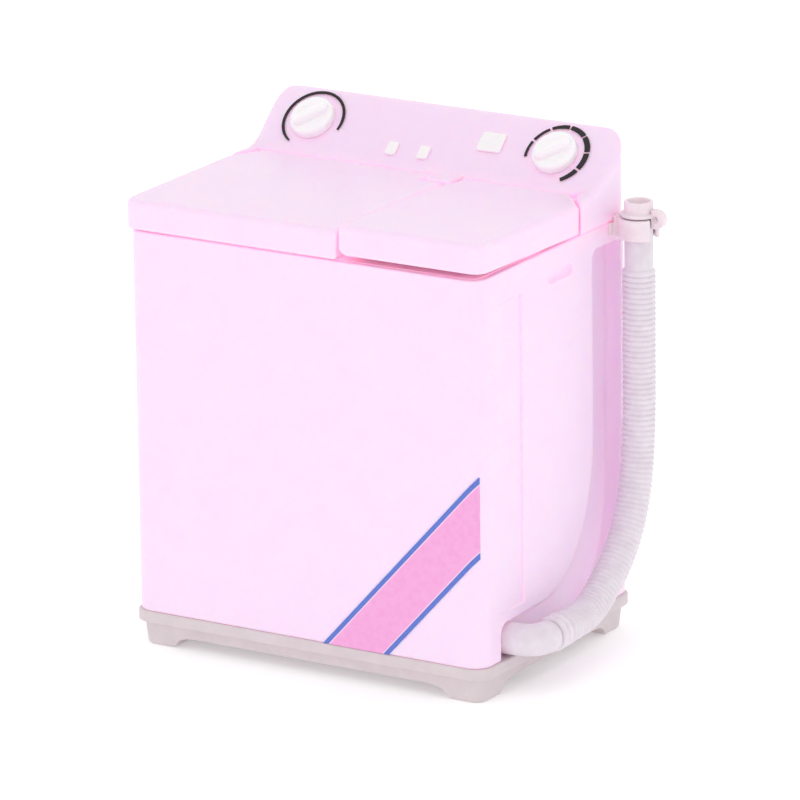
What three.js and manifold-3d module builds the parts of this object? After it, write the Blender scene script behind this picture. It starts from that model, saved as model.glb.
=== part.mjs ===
// Toy twin-tub washing machine at about one twelfth of real size, in millimetres.
// +Z is up, the front looks along -Y, and Z = 0 is the surface that the feet stand on.
// X = 0 is the middle of the cabinet until the last lines, which centre the whole toy with its hose.

import * as THREE from "three";
import { mergeVertices } from "three/addons/utils/BufferGeometryUtils.js";
import Module from "manifold-3d";

const wasm = await Module();
wasm.setup();

// Overall sizes
const bodyWidth = 56;
const bodyDepth = 40.6;
const cabinetHeight = 53.7;
const lidHeight = 4.1;
const consoleRise = 7.05;

// Gaps that are shared by many pieces
const overrun = 1;
const weldDistance = 1e-4;
const seamGap = 0.3;
const runningGap = 0.12;
const fixingGap = 0.15;
const turnedSeatGap = 0.1;

// Base with moulded feet
const baseHeight = 5.05;
const baseRimHeight = 1.65;
const baseWall = 1.5;
const baseFloorThickness = 1.4;
const skirtInset = 0.7;
const skirtDraft = 0.35;
const footHeight = 1.8;
const footSpanX = 5.2;
const footSpanY = 5.2;
const footCurve = 4;
const footChamfer = 0.6;

// Cabinet
const lidSideOverhang = 0.35;
const lidFrontOverhang = 0.2;
const cabinetCornerRadius = 2.5;
const cabinetWall = 1.8;
const cabinetRimWall = 0.9;

// Side panel recess and grip recess
const sidePanelFront = 4.9;
const sidePanelWidth = 6.2;
const sidePanelFoot = 6.7;
const sidePanelTopGap = 4.35;
const sidePanelDepth = 0.4;
const gripFront = 18;
const gripLength = 6.6;
const gripHeight = 1.75;
const gripTopGap = 3.05;
const gripDepth = 0.7;

// Hose channel in the right side of the cabinet
const channelDepth = 2.4;
const channelSkin = 1.4;
const channelFront = 5;
const channelMouthHeight = 5.05;
const channelMouthRadius = 1.8;
const channelBendRun = 14.5;
const channelBendEndHeight = 30;
const channelWidth = 7.4;
const channelRearGap = 2.7;
const channelTopGap = 2.95;
const channelFootRun = 9.4;
const channelOuterBendHeight = 24;

// Rear opening and its cover
const coverSideGap = 5.65;
const coverBottomGap = 2.75;
const coverTopGap = 3.95;
const coverThickness = 1;
const coverLap = 3.8;
const coverCornerRadius = 2;
const ventLength = 16;
const ventWidth = 1.2;
const ventPitch = 3;
const ventCount = 5;

// Screws
const screwShankRadius = 0.6;
const screwHeadRadius = 1.2;
const screwHeadHeight = 0.7;
const screwShankLength = 5;
const screwSlotWidth = 0.35;
const screwSlotDepth = 0.35;
const bossRadius = 1.85;
const bossLength = 6;
const screwEdgeDistance = 1.75;
const baseScrewInset = 3.6;
const baseScrewInsetY = 13;

// Deck
const deckThickness = 1.4;
const deckEdgeGap = 0.25;

// Wash tub and pulsator
const washTubSideGap = 3.05;
const washTubSeamGap = 2.9;
const tubFrontGap = 2.7;
const tubRearGap = 2.9;
const washTubCornerRadius = 5;
const washTubTaper = 2;
const washTubFloor = 20;
const tubWall = 0.9;
const tubFlangeWidth = 1.2;
const tubFlangeThickness = 0.7;
const pulsatorSideGap = 2.9;
const pulsatorDishHeight = 1.2;
const pulsatorFinHeight = 2.6;
const pulsatorFinThickness = 1.3;
const pulsatorFins = 4;
const pulsatorHubRadius = 2.3;
const axleRadius = 0.9;
const axleBelowFloor = 1.9;
const clipRadius = 2;
const clipThickness = 0.7;

// Spin tub and basket
const spinTubSideGap = 2.35;
const spinTubSeamGap = 2.6;
const spinTubTaper = 0.8;
const spinTubFloor = 20;
const basketSideGap = 0.6;
const basketWall = 0.7;
const basketRimDrop = 1.6;
const basketRimRadius = 0.5;
const basketHoleRadius = 0.55;
const basketHoleColumns = 8;
const basketHoleRows = 5;
const basketConeRadius = 2.2;
const basketConeHeight = 4;

// Lids
const spinLidWidth = 21.95;
const lidPlateThickness = 1.1;
const lidSkirtThickness = 1;
const spinLidAjar = 1.45;
const spinLidSetback = 0.08;
const lidEdgeRadius = 0.85;
const lidCornerRadius = 2;
const spinLidLowerCorner = 1.6;
const leftShoulderWidth = 2.6;
const rightShoulderWidth = 4.2;
const trunnionRadius = 0.42;
const trunnionLength = 1.2;

// Console
const consoleDepth = 9.1;
const consoleTopDepth = 0.85;
const panelFootDrop = 0.25;
const consoleWall = 1.2;
const consoleTopRound = 0.25;
const consoleSeatInset = 0.4;
const cheekRise = 0.05;
const cheekReach = 5.6;
const cheekLevelLength = 1.7;
const cheekTopDrop = 0.7;
const hingeBlockReach = 3.25;
const hingeBlockWidth = 3.85;
const hingeBlockWall = 0.35;
const hingeBlockNose = 1.3;
const hingeBlockRun = 2.6;

// Knobs and their printed scales, placed on the panel by distance across and up it
const knobRadius = 3.2;
const knobHeight = 1.3;
const knobGripHeight = 0.9;
const knobGripWidth = 1.5;
const knobEdgeRadius = 0.5;
const knobStemLength = 2.3;
const knobClipRadius = 1.9;
const knobClipThickness = 0.6;
const washKnobInset = 8.15;
const washKnobUp = 5.95;
const washKnobTurn = 40;
const spinKnobInset = 9.2;
const spinKnobUp = 5.8;
const spinKnobTurn = 39;
const scaleThickness = 0.16;
const scaleNotch = 0.35;
const washScaleRadius = 4.5;
const washScaleWidth = 0.42;
const washScaleStart = -15;
const washScaleEnd = 240;
const spinScaleRadius = 4.5;
const spinScaleWidth = 0.36;
const spinScaleSwell = 0.44;
const spinScaleStart = -62;
const spinScaleEnd = 195;
const spinScaleParts = 7;
const spinSwellStart = 0.12;
const spinSwellRate = 1.2;

// Inserts on the panel
const insertThickness = 0.3;
const insertCorner = 0.3;
const selectorWidth = 1.6;
const selectorHeight = 2.1;
const selectorUp = 3.05;
const leftSelectorX = -5.9;
const rightSelectorX = -0.85;
const indicatorWidth = 3.7;
const indicatorHeight = 3.1;
const indicatorFromKnob = 10.25;
const indicatorUp = 6.2;

// Front sticker, wrapped half way round the right corner
const stickerThickness = 0.12;
const stickerUpperWidth = 24.25;
const stickerLowerWidth = 13.9;
const stickerSlope = 47.8;
const stickerRightGap = 0.65;
const stickerBottomGap = 0.05;
const stickerBorder = 0.8;

// Drain hose
const hoseBore = 1.3;
const hoseCuffRadius = 1.95;
const ribCrestRadius = 2.3;
const ribValleyRadius = 2.02;
const ribPitch = 0.75;
const collarRibPitch = 1.3;
const collarRibCrest = 2.45;
const collarRibs = 3;
const hoseCuffLength = 7.1;
const ringPoints = 8;
const boreRingEvery = 5;
const hoseOut = 3.95;
const hoseBackGap = 4.65;
const elbowInside = 5.65;
const elbowFront = 7.5;
const elbowRise = 2.55;
const elbowRadius = 2.2;
const elbowBend = 3;
const elbowOutlet = 0.3;
const spigotBore = 0.7;
const spigotLength = 1.9;
const nutWall = 0.9;
const nutThickness = 1.1;

// Hose clip and end socket
const clipHeight = 2.85;
const clipBottomGap = 1.8;
const clipCollarGap = 0.23;
const clipCollarWall = 0.65;
const clipMouthAngle = 32;
const clipArmWidth = 2.3;
const clipPadWidth = 3;
const clipPadThickness = 0.5;
const socketFlangeRadius = 2.5;
const socketFlangeThickness = 0.5;
const socketRadius = 2;
const socketBore = 1.45;
const socketHeight = 2.1;
const lugOuterRadius = 1.3;
const lugInnerRadius = 0.55;
const lugThickness = 1.1;
const lugReach = 4.1;

// Counts that set how finely the round shapes are divided
const cornerSteps = 3;
const roundSides = 24;
const smallRoundSides = 12;
const edgeSteps = 2;
const bendSteps = 7;
const basketHoleSides = 5;
const nutSides = 6;
const elbowRings = 9;
const arcStepDegrees = 6;
const hoseLengthSteps = 800;

// Places that follow from the sizes above
const halfWidth = bodyWidth / 2;
const halfDepth = bodyDepth / 2;
const cabinetWidth = bodyWidth - 2 * lidSideOverhang;
const cabinetDepth = bodyDepth - 2 * lidFrontOverhang;
const cabinetSide = cabinetWidth / 2;
const cabinetFront = -cabinetDepth / 2;
const cabinetBack = cabinetDepth / 2;
const cabinetTop = baseHeight + cabinetHeight;
const skirtBottom = cabinetTop + seamGap;
const lidTopHeight = skirtBottom + lidHeight;
const consoleTopHeight = lidTopHeight + consoleRise;
const consoleFrontY = halfDepth - consoleDepth;
const panelFootHeight = lidTopHeight - panelFootDrop;
const panelRise = consoleTopHeight - panelFootHeight;
const tiltAngle = Math.atan2(panelRise, consoleDepth - consoleTopDepth);
const lidRearY = consoleFrontY - seamGap;
const lidShoulderY = consoleFrontY - cheekReach;
const hingeY = lidRearY - lidEdgeRadius;
const hingeHeight = lidTopHeight - lidEdgeRadius;
const seamX = halfWidth - spinLidWidth - seamGap / 2;
const trunnionHole = trunnionRadius + fixingGap;
const hingeShare = (hingeY - lidShoulderY) / (lidRearY - lidShoulderY);
const leftTrunnionX = -halfWidth + leftShoulderWidth * hingeShare;
const rightTrunnionX = halfWidth - rightShoulderWidth * hingeShare;
const leftShoulderX = -halfWidth + leftShoulderWidth;
const rightShoulderX = halfWidth - rightShoulderWidth;
const hingeBlockLeft = seamX - hingeBlockReach;
const hingeBlockRight = hingeBlockLeft + hingeBlockWidth;
const hingeBlockFront = hingeY - trunnionHole - hingeBlockWall;
const hingeBlockNoseY = hingeBlockFront - hingeBlockNose;
const washKnobX = -halfWidth + washKnobInset;
const spinKnobX = halfWidth - spinKnobInset;
const indicatorX = spinKnobX - indicatorFromKnob;
const tubFront = cabinetFront + tubFrontGap;
const tubRear = consoleFrontY - tubRearGap;
const tubCentreY = (tubFront + tubRear) / 2;
const washTubDepth = tubRear - tubFront;
const washTubLeft = -cabinetSide + washTubSideGap;
const washTubRight = seamX - washTubSeamGap;
const washTubCentreX = (washTubLeft + washTubRight) / 2;
const washTubWidth = washTubRight - washTubLeft;
const washTubFloorSpan = Math.min(washTubWidth, washTubDepth) - 2 * (washTubTaper + tubWall);
const pulsatorRadius = washTubFloorSpan / 2 - pulsatorSideGap;
const spinTubLeft = seamX + spinTubSeamGap;
const spinTubRight = cabinetSide - spinTubSideGap;
const spinTubCentreX = (spinTubLeft + spinTubRight) / 2;
const spinTubRadius = (spinTubRight - spinTubLeft) / 2;
const sidePanelBottom = baseHeight + sidePanelFoot;
const sidePanelTop = cabinetTop - sidePanelTopGap;
const gripTop = cabinetTop - gripTopGap;
const coverWidth = cabinetWidth - 2 * coverSideGap;
const coverBottom = baseHeight + coverBottomGap;
const coverTop = cabinetTop - coverTopGap;
const baseScrewY = halfDepth - baseScrewInsetY;
const channelFloor = cabinetSide - channelDepth;
const channelTop = cabinetTop - channelTopGap;
const channelOuterY = cabinetBack - channelRearGap;
const channelInnerY = channelOuterY - channelWidth;
const channelFootY = channelOuterY - channelFootRun;
const channelBendStartY = channelInnerY - channelBendRun;
const stickerRight = cabinetSide - stickerRightGap;
const stickerUpperFoot = stickerRight - stickerUpperWidth;
const stickerLowerFoot = stickerRight - stickerLowerWidth;
const hoseX = cabinetSide + hoseOut;
const hoseTopY = cabinetBack - hoseBackGap;
const elbowStartX = cabinetSide - elbowInside;
const elbowY = cabinetFront + elbowFront;
const elbowHeight = baseHeight + elbowRise;
const spigotRadius = hoseBore - fixingGap;
const nutRadius = elbowRadius + nutWall;
const clipBottom = cabinetTop - clipBottomGap;
const clipCollarBore = hoseCuffRadius + clipCollarGap;
const clipCollarRadius = clipCollarBore + clipCollarWall;

// Colours and finishes
const finish = (color, roughness, metalness = 0) =>
  new THREE.MeshStandardMaterial({ color, roughness, metalness, flatShading: true });
const pinkPlastic = finish(0xfbe3f9, 0.32);
const palePinkPlastic = finish(0xfdeefb, 0.35);
const greyPlastic = finish(0xb9b3b3, 0.5);
const whitePlastic = finish(0xfbf7fa, 0.3);
const blackPrint = finish(0x141216, 0.5);
const stickerFilm = finish(0xe08cc6, 0.35);
const hoseRubber = finish(0xd9d5da, 0.45);
const clipPlastic = finish(0xdccfd2, 0.45);
const steel = finish(0xb8b8bc, 0.3, 1);

// Solids: three.js makes the shapes, and they are joined and cut here

// A solid from a geometry; what is a solid already is passed through.
function solidOf(shape) {
  if (!shape.isBufferGeometry) return shape;
  const bare = shape.clone();
  bare.deleteAttribute("normal");
  bare.deleteAttribute("uv");
  const merged = mergeVertices(bare, weldDistance);
  return new wasm.Manifold(
    new wasm.Mesh({
      numProp: 3,
      vertProperties: new Float32Array(merged.attributes.position.array),
      triVerts: new Uint32Array(merged.index.array),
    }),
  );
}

function join(first, ...others) {
  return others.reduce((whole, next) => whole.add(solidOf(next)), solidOf(first));
}

function cut(first, ...others) {
  return others.reduce((whole, next) => whole.subtract(solidOf(next)), solidOf(first));
}

function common(first, second) {
  return solidOf(first).intersect(solidOf(second));
}

function pieceOf(name, shape, material) {
  const made = solidOf(shape).getMesh();
  const geometry = new THREE.BufferGeometry();
  geometry.setAttribute("position", new THREE.BufferAttribute(new Float32Array(made.vertProperties), 3));
  geometry.setIndex(new THREE.BufferAttribute(new Uint32Array(made.triVerts), 1));
  geometry.computeVertexNormals();
  const mesh = new THREE.Mesh(geometry, material);
  mesh.name = name;
  return mesh;
}

// Outlines

function roundedOutline(width, depth, radius, centreX = 0, centreY = 0) {
  const x = width / 2 - radius;
  const y = depth / 2 - radius;
  const outline = new THREE.Shape();
  outline.absarc(centreX + x, centreY + y, radius, 0, Math.PI / 2);
  outline.absarc(centreX - x, centreY + y, radius, Math.PI / 2, Math.PI);
  outline.absarc(centreX - x, centreY - y, radius, Math.PI, 1.5 * Math.PI);
  outline.absarc(centreX + x, centreY - y, radius, 1.5 * Math.PI, 2 * Math.PI);
  return outline;
}

function circleOutline(radius, centreX = 0, centreY = 0) {
  const outline = new THREE.Shape();
  outline.absarc(centreX, centreY, radius, 0, 2 * Math.PI);
  return outline;
}

// A prism that stands on its outline, from one height to another.
function prism(outline, bottom, top, steps = cornerSteps) {
  const geometry = new THREE.ExtrudeGeometry(outline, {
    depth: top - bottom,
    bevelEnabled: false,
    curveSegments: steps,
  });
  return geometry.translate(0, 0, bottom);
}

// A prism along Y from an outline of X and Z.
function prismAlongY(outline, front, back, steps = cornerSteps) {
  return prism(outline, -back, -front, steps).rotateX(Math.PI / 2);
}

// A prism along X from an outline of Y and Z.
function prismAlongX(outline, left, right, steps = cornerSteps) {
  return prism(outline, left, right, steps).rotateZ(Math.PI / 2).rotateY(Math.PI / 2);
}

function box(left, right, front, back, bottom, top) {
  const geometry = new THREE.BoxGeometry(right - left, back - front, top - bottom);
  return geometry.translate((left + right) / 2, (front + back) / 2, (bottom + top) / 2);
}

function rod(radius, bottom, top, sides = smallRoundSides) {
  const geometry = new THREE.CylinderGeometry(radius, radius, top - bottom, sides);
  return geometry.rotateX(Math.PI / 2).translate(0, 0, (bottom + top) / 2);
}

function rodAlongX(radius, left, right, y, z, sides = smallRoundSides) {
  return rod(radius, left, right, sides).rotateY(Math.PI / 2).translate(0, y, z);
}

function rodAlongY(radius, front, back, x, z, sides = smallRoundSides) {
  return rod(radius, front, back, sides).rotateX(-Math.PI / 2).translate(x, 0, z);
}

function turned(profile, sides = roundSides) {
  const points = profile.map(([radius, height]) => new THREE.Vector2(radius, height));
  return new THREE.LatheGeometry(points, sides).rotateX(Math.PI / 2);
}

// A closed skin through outlines of equally many points, each at its own height.
function loft(sections) {
  const rings = sections.map(({ outline, height }) =>
    outline
      .getPoints(cornerSteps)
      .slice(0, -1)
      .map(({ x, y }) => new THREE.Vector3(x, y, height)),
  );
  const count = rings[0].length;
  const places = rings.flat().flatMap((point) => [point.x, point.y, point.z]);
  const faces = [];
  for (let level = 0; level < rings.length - 1; level += 1) {
    for (let i = 0; i < count; i += 1) {
      const here = level * count + i;
      const next = level * count + ((i + 1) % count);
      faces.push(here, next, next + count, here, next + count, here + count);
    }
  }
  const last = (rings.length - 1) * count;
  for (let i = 1; i < count - 1; i += 1) {
    faces.push(0, i + 1, i, last, last + i, last + i + 1);
  }
  const geometry = new THREE.BufferGeometry();
  geometry.setAttribute("position", new THREE.BufferAttribute(new Float32Array(places), 3));
  geometry.setIndex(faces);
  return geometry;
}

const mirrored = (geometry) => {
  const other = geometry.clone().scale(-1, 1, 1);
  const index = other.index ? other.index.array : null;
  if (index) {
    for (let i = 0; i < index.length; i += 3) {
      [index[i + 1], index[i + 2]] = [index[i + 2], index[i + 1]];
    }
    return other;
  }
  const place = other.attributes.position;
  for (let i = 0; i < place.count; i += 3) {
    const second = new THREE.Vector3().fromBufferAttribute(place, i + 1);
    const third = new THREE.Vector3().fromBufferAttribute(place, i + 2);
    place.setXYZ(i + 1, third.x, third.y, third.z);
    place.setXYZ(i + 2, second.x, second.y, second.z);
  }
  return other;
};

// Base: a rim under the cabinet, a skirt set in below it, and four feet left between two arches.

function archOutline(halfSpan) {
  const inner = halfSpan - footCurve;
  const outline = new THREE.Shape();
  outline.moveTo(-halfSpan, -overrun);
  outline.lineTo(-halfSpan, 0);
  outline.quadraticCurveTo(-halfSpan + footChamfer, footHeight, -inner, footHeight);
  outline.lineTo(inner, footHeight);
  outline.quadraticCurveTo(halfSpan - footChamfer, footHeight, halfSpan, 0);
  outline.lineTo(halfSpan, -overrun);
  return outline;
}

const baseScrewPlaces = [-1, 1].flatMap((sideX) =>
  [-1, 1].map((sideY) => ({ x: sideX * (cabinetSide - baseScrewInset), y: sideY * baseScrewY })),
);

function makeBase() {
  const rimBottom = baseHeight - baseRimHeight;
  const skirtWidth = bodyWidth - 2 * skirtInset;
  const skirtDepth = bodyDepth - 2 * skirtInset;
  const skirtCorner = cabinetCornerRadius - skirtInset / 2;
  const rim = prism(roundedOutline(bodyWidth, bodyDepth, cabinetCornerRadius), rimBottom, baseHeight);
  const narrow = roundedOutline(skirtWidth - 2 * skirtDraft, skirtDepth - 2 * skirtDraft, skirtCorner);
  const wide = roundedOutline(skirtWidth, skirtDepth, skirtCorner);
  const skirt = loft([
    { outline: narrow, height: 0 },
    { outline: wide, height: rimBottom + overrun / 4 },
  ]);
  const halfFootGapX = skirtWidth / 2 - skirtDraft - footSpanX;
  const halfFootGapY = skirtDepth / 2 - skirtDraft - footSpanY;
  const pocketWidth = skirtWidth - 2 * baseWall;
  const pocketDepth = skirtDepth - 2 * baseWall;
  const pocketFloor = footHeight + baseFloorThickness;
  const pocket = roundedOutline(pocketWidth, pocketDepth, cabinetCornerRadius / 2);
  const tray = cut(
    join(rim, skirt),
    prismAlongY(archOutline(halfFootGapX), -halfDepth - overrun, halfDepth + overrun),
    prismAlongX(archOutline(halfFootGapY), -halfWidth - overrun, halfWidth + overrun),
    prism(pocket, pocketFloor, baseHeight + overrun),
  );
  const bosses = baseScrewPlaces.map(({ x, y }) =>
    rod(bossRadius + fixingGap, footHeight, baseHeight).translate(x, y, 0),
  );
  const holes = baseScrewPlaces.flatMap(({ x, y }) => [
    rod(screwShankRadius + fixingGap, 0, baseHeight + overrun).translate(x, y, 0),
    rod(screwHeadRadius + fixingGap, 0, footHeight + screwHeadHeight + fixingGap).translate(x, y, 0),
  ]);
  return pieceOf("base_tray", cut(join(tray, ...bosses), ...holes), greyPlastic);
}

// Screw: a pan head with one slot, pointing up, its head's under face at zero.

function makeScrew(name) {
  const body = turned(
    [
      [0, -screwHeadHeight],
      [screwHeadRadius - screwHeadHeight / 2, -screwHeadHeight],
      [screwHeadRadius, -screwHeadHeight / 2],
      [screwHeadRadius, 0],
      [screwShankRadius, 0],
      [screwShankRadius, screwShankLength - screwShankRadius],
      [0, screwShankLength],
    ],
    smallRoundSides,
  );
  const slot = box(
    -screwHeadRadius - overrun,
    screwHeadRadius + overrun,
    -screwSlotWidth / 2,
    screwSlotWidth / 2,
    -screwHeadHeight - overrun,
    -screwHeadHeight + screwSlotDepth,
  );
  return pieceOf(name, cut(body, slot), steel);
}

// Cabinet

// The hose channel's outline on the side face, grown all round for the skin that stands behind it.
function channelOutline(grow) {
  const front = cabinetFront + channelFront - grow;
  const mouthTop = baseHeight + channelMouthHeight + grow;
  const bendStart = channelBendStartY;
  const inner = channelInnerY - grow;
  const outer = channelOuterY + grow;
  const bendRun = inner - bendStart;
  const bendRise = channelBendEndHeight - mouthTop;
  const footY = channelFootY + grow;
  const footRun = outer - footY;
  const outerRise = channelOuterBendHeight - baseHeight;
  const bendShare = 0.45;
  const riseShare = 0.3;
  const heelShare = 0.65;
  const heelRiseShare = 0.2;
  const outline = new THREE.Shape();
  outline.moveTo(front, baseHeight - overrun);
  outline.lineTo(front, mouthTop - channelMouthRadius);
  outline.quadraticCurveTo(front, mouthTop, front + channelMouthRadius, mouthTop);
  outline.lineTo(bendStart, mouthTop);
  outline.bezierCurveTo(
    bendStart + bendShare * bendRun,
    mouthTop,
    inner,
    mouthTop + riseShare * bendRise,
    inner,
    channelBendEndHeight,
  );
  outline.lineTo(inner, channelTop + grow);
  outline.lineTo(outer, channelTop + grow);
  outline.lineTo(outer, channelOuterBendHeight);
  outline.bezierCurveTo(
    outer,
    baseHeight + (1 - heelShare) * outerRise,
    footY + heelShare * footRun,
    baseHeight + heelRiseShare * outerRise,
    footY,
    baseHeight - overrun,
  );
  return outline;
}

const gripCentreY = cabinetFront + gripFront + gripLength / 2;
const gripCentreZ = gripTop - gripHeight / 2;
const coverScrewSeat = halfDepth - screwHeadHeight;
const coverScrewPlaces = [-1, 1].flatMap((side) =>
  [coverBottom + screwEdgeDistance, coverTop - screwEdgeDistance].map((z) => ({
    x: side * (coverWidth / 2 - screwEdgeDistance),
    z,
  })),
);

function sideRecesses() {
  const grip = roundedOutline(gripLength, gripHeight, gripHeight / 2 - fixingGap, gripCentreY, gripCentreZ);
  const gripCut = prismAlongX(grip, cabinetSide - gripDepth, cabinetSide + overrun);
  const panelFront = cabinetFront + sidePanelFront;
  const panelCut = box(
    cabinetSide - sidePanelDepth,
    cabinetSide + overrun,
    panelFront,
    panelFront + sidePanelWidth,
    sidePanelBottom,
    sidePanelTop,
  );
  return [gripCut, panelCut, mirrored(gripCut), mirrored(panelCut)];
}

function makeCabinet() {
  const innerWidth = cabinetWidth - 2 * cabinetWall;
  const innerDepth = cabinetDepth - 2 * cabinetWall;
  const innerCorner = cabinetCornerRadius - cabinetRimWall;
  const rimWidth = cabinetWidth - 2 * cabinetRimWall;
  const rimDepth = cabinetDepth - 2 * cabinetRimWall;
  const body = prism(roundedOutline(cabinetWidth, cabinetDepth, cabinetCornerRadius), baseHeight, cabinetTop);
  const above = cabinetTop + overrun;
  const aside = cabinetSide + overrun;
  const hollow = prism(roundedOutline(innerWidth, innerDepth, innerCorner), baseHeight - overrun, above);
  const channelBack = channelFloor - channelSkin;
  const channelHousing = prismAlongX(channelOutline(channelSkin), channelBack, aside, bendSteps);
  const rebate = prism(roundedOutline(rimWidth, rimDepth, innerCorner), cabinetTop - deckThickness, above);
  const basePosts = baseScrewPlaces.map(({ x, y }) =>
    rod(bossRadius + fixingGap, baseHeight, baseHeight + bossLength).translate(x, y, 0),
  );
  const wallInside = cabinetBack - cabinetWall;
  const coverBosses = coverScrewPlaces.map(({ x, z }) =>
    rodAlongY(bossRadius, wallInside - bossLength / 2, wallInside + fixingGap, x, z),
  );
  const shell = join(cut(body, cut(hollow, channelHousing)), ...basePosts, ...coverBosses);
  const coverCentre = (coverTop + coverBottom) / 2;
  const coverHeight = coverTop - coverBottom;
  const coverSeat = roundedOutline(
    coverWidth + 2 * seamGap,
    coverHeight + 2 * seamGap,
    coverCornerRadius,
    0,
    coverCentre,
  );
  const window = roundedOutline(
    coverWidth - 2 * coverLap,
    coverHeight - 2 * coverLap,
    coverCornerRadius,
    0,
    coverCentre,
  );
  const pilotHoles = [
    ...baseScrewPlaces.map(({ x, y }) =>
      rod(screwShankRadius + fixingGap, baseHeight - overrun, baseHeight + bossLength).translate(x, y, 0),
    ),
    ...coverScrewPlaces.map(({ x, z }) =>
      rodAlongY(screwShankRadius + fixingGap, wallInside - bossLength, cabinetBack + overrun, x, z),
    ),
  ];
  const shaped = cut(
    shell,
    prismAlongX(channelOutline(0), channelFloor, aside, bendSteps),
    rebate,
    prismAlongY(coverSeat, cabinetBack - coverThickness, cabinetBack + overrun),
    prismAlongY(window, wallInside - overrun, cabinetBack + overrun),
    rodAlongX(elbowRadius + fixingGap, elbowStartX, aside, elbowY, elbowHeight, roundSides),
    ...sideRecesses(),
    ...pilotHoles,
  );
  return pieceOf("cabinet_shell", shaped, pinkPlastic);
}

function makeBackCover() {
  const coverCentre = (coverTop + coverBottom) / 2;
  const coverHeight = coverTop - coverBottom;
  const outline = roundedOutline(coverWidth, coverHeight, coverCornerRadius - seamGap, 0, coverCentre);
  const inside = cabinetBack - coverThickness;
  const outside = cabinetBack + overrun;
  const plate = prismAlongY(outline, inside, cabinetBack);
  const screwHoles = coverScrewPlaces.flatMap(({ x, z }) => [
    rodAlongY(screwShankRadius + fixingGap, inside - overrun, outside, x, z),
    rodAlongY(screwHeadRadius + fixingGap, coverScrewSeat, outside, x, z),
  ]);
  const vents = Array.from({ length: ventCount }, (_, i) => {
    const z = coverCentre + (i - (ventCount - 1) / 2) * ventPitch;
    const slot = roundedOutline(ventLength, ventWidth, ventWidth / 2 - fixingGap, 0, z);
    return prismAlongY(slot, inside - overrun, outside, 1);
  });
  return pieceOf("back_cover", cut(plate, ...screwHoles, ...vents), pinkPlastic);
}

// Deck: the plate that closes the cabinet's top and from which both tubs hang.

function makeDeck() {
  const width = cabinetWidth - 2 * cabinetRimWall - 2 * deckEdgeGap;
  const depth = cabinetDepth - 2 * cabinetRimWall - 2 * deckEdgeGap;
  const outline = roundedOutline(width, depth, cabinetCornerRadius - cabinetRimWall - deckEdgeGap);
  const bottom = cabinetTop - deckThickness;
  const washHole = roundedOutline(
    washTubWidth + 2 * seamGap,
    washTubDepth + 2 * seamGap,
    washTubCornerRadius + seamGap,
    washTubCentreX,
    tubCentreY,
  );
  const spinHole = circleOutline(spinTubRadius + seamGap, spinTubCentreX, tubCentreY);
  const plate = cut(
    prism(outline, bottom, cabinetTop),
    prism(washHole, bottom - overrun, cabinetTop + overrun),
    prism(spinHole, bottom - overrun, cabinetTop + overrun, roundSides / 2),
  );
  return pieceOf("top_deck", plate, palePinkPlastic);
}

// Tubs, with their own zero at the middle of the deck's top face

function makeWashTub() {
  const floor = washTubFloor - cabinetTop;
  const footCorner = washTubCornerRadius - washTubTaper / 2;
  const outlineAt = (inset, corner) =>
    roundedOutline(washTubWidth - 2 * inset, washTubDepth - 2 * inset, corner);
  const outer = loft([
    { outline: outlineAt(washTubTaper, footCorner), height: floor },
    { outline: outlineAt(0, washTubCornerRadius), height: tubFlangeThickness },
  ]);
  const flangeOutline = outlineAt(-tubFlangeWidth, washTubCornerRadius + tubFlangeWidth);
  const inner = loft([
    { outline: outlineAt(washTubTaper + tubWall, footCorner - tubWall / 2), height: floor + tubWall },
    { outline: outlineAt(tubWall, washTubCornerRadius - tubWall / 2), height: tubFlangeThickness + overrun },
  ]);
  const hole = rod(axleRadius + runningGap, floor - overrun, floor + tubWall + overrun, roundSides);
  const body = join(outer, prism(flangeOutline, 0, tubFlangeThickness));
  const mesh = pieceOf("wash_tub", cut(body, inner, hole), palePinkPlastic);
  mesh.position.set(washTubCentreX, tubCentreY, cabinetTop);
  return mesh;
}

function axleProfileBelow(floorThickness) {
  const end = -seamGap - floorThickness - axleBelowFloor;
  return [
    [0, end],
    [axleRadius / 2, end],
    [axleRadius, end + axleRadius / 2],
    [axleRadius, 0],
  ];
}

// Pulsator: a dished disc with fins and its axle, its own zero at the disc's under face.
function makePulsator() {
  const disc = turned([
    ...axleProfileBelow(tubWall),
    [pulsatorRadius - lidEdgeRadius, 0],
    [pulsatorRadius, lidEdgeRadius / 2],
    [pulsatorRadius, pulsatorDishHeight],
    [pulsatorHubRadius + axleRadius, pulsatorDishHeight],
    [pulsatorHubRadius, pulsatorFinHeight],
    [pulsatorHubRadius / 2, pulsatorFinHeight + axleRadius / 2],
    [0, pulsatorFinHeight + axleRadius / 2],
  ]);
  const fins = Array.from({ length: pulsatorFins }, (_, i) => {
    const outline = new THREE.Shape();
    outline.moveTo(0, pulsatorDishHeight / 2);
    outline.lineTo(pulsatorRadius - lidEdgeRadius, pulsatorDishHeight / 2);
    outline.lineTo(pulsatorRadius - lidEdgeRadius, pulsatorDishHeight + lidEdgeRadius / 2);
    outline.quadraticCurveTo(pulsatorRadius / 2, pulsatorFinHeight, 0, pulsatorFinHeight);
    const blade = prismAlongY(outline, -pulsatorFinThickness / 2, pulsatorFinThickness / 2);
    return blade.rotateZ((i * 2 * Math.PI) / pulsatorFins);
  });
  const mesh = pieceOf("pulsator", join(disc, ...fins), whitePlastic);
  mesh.position.set(washTubCentreX, tubCentreY, washTubFloor + tubWall + seamGap);
  return mesh;
}

// Clip: a washer pressed on an axle under the floor that it turns in.
function makeAxleClip(name, radius, innerRadius, thickness) {
  const ring = turned([
    [innerRadius, 0],
    [radius, 0],
    [radius, thickness],
    [innerRadius, thickness],
    [innerRadius, 0],
  ]);
  return pieceOf(name, ring, whitePlastic);
}

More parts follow.
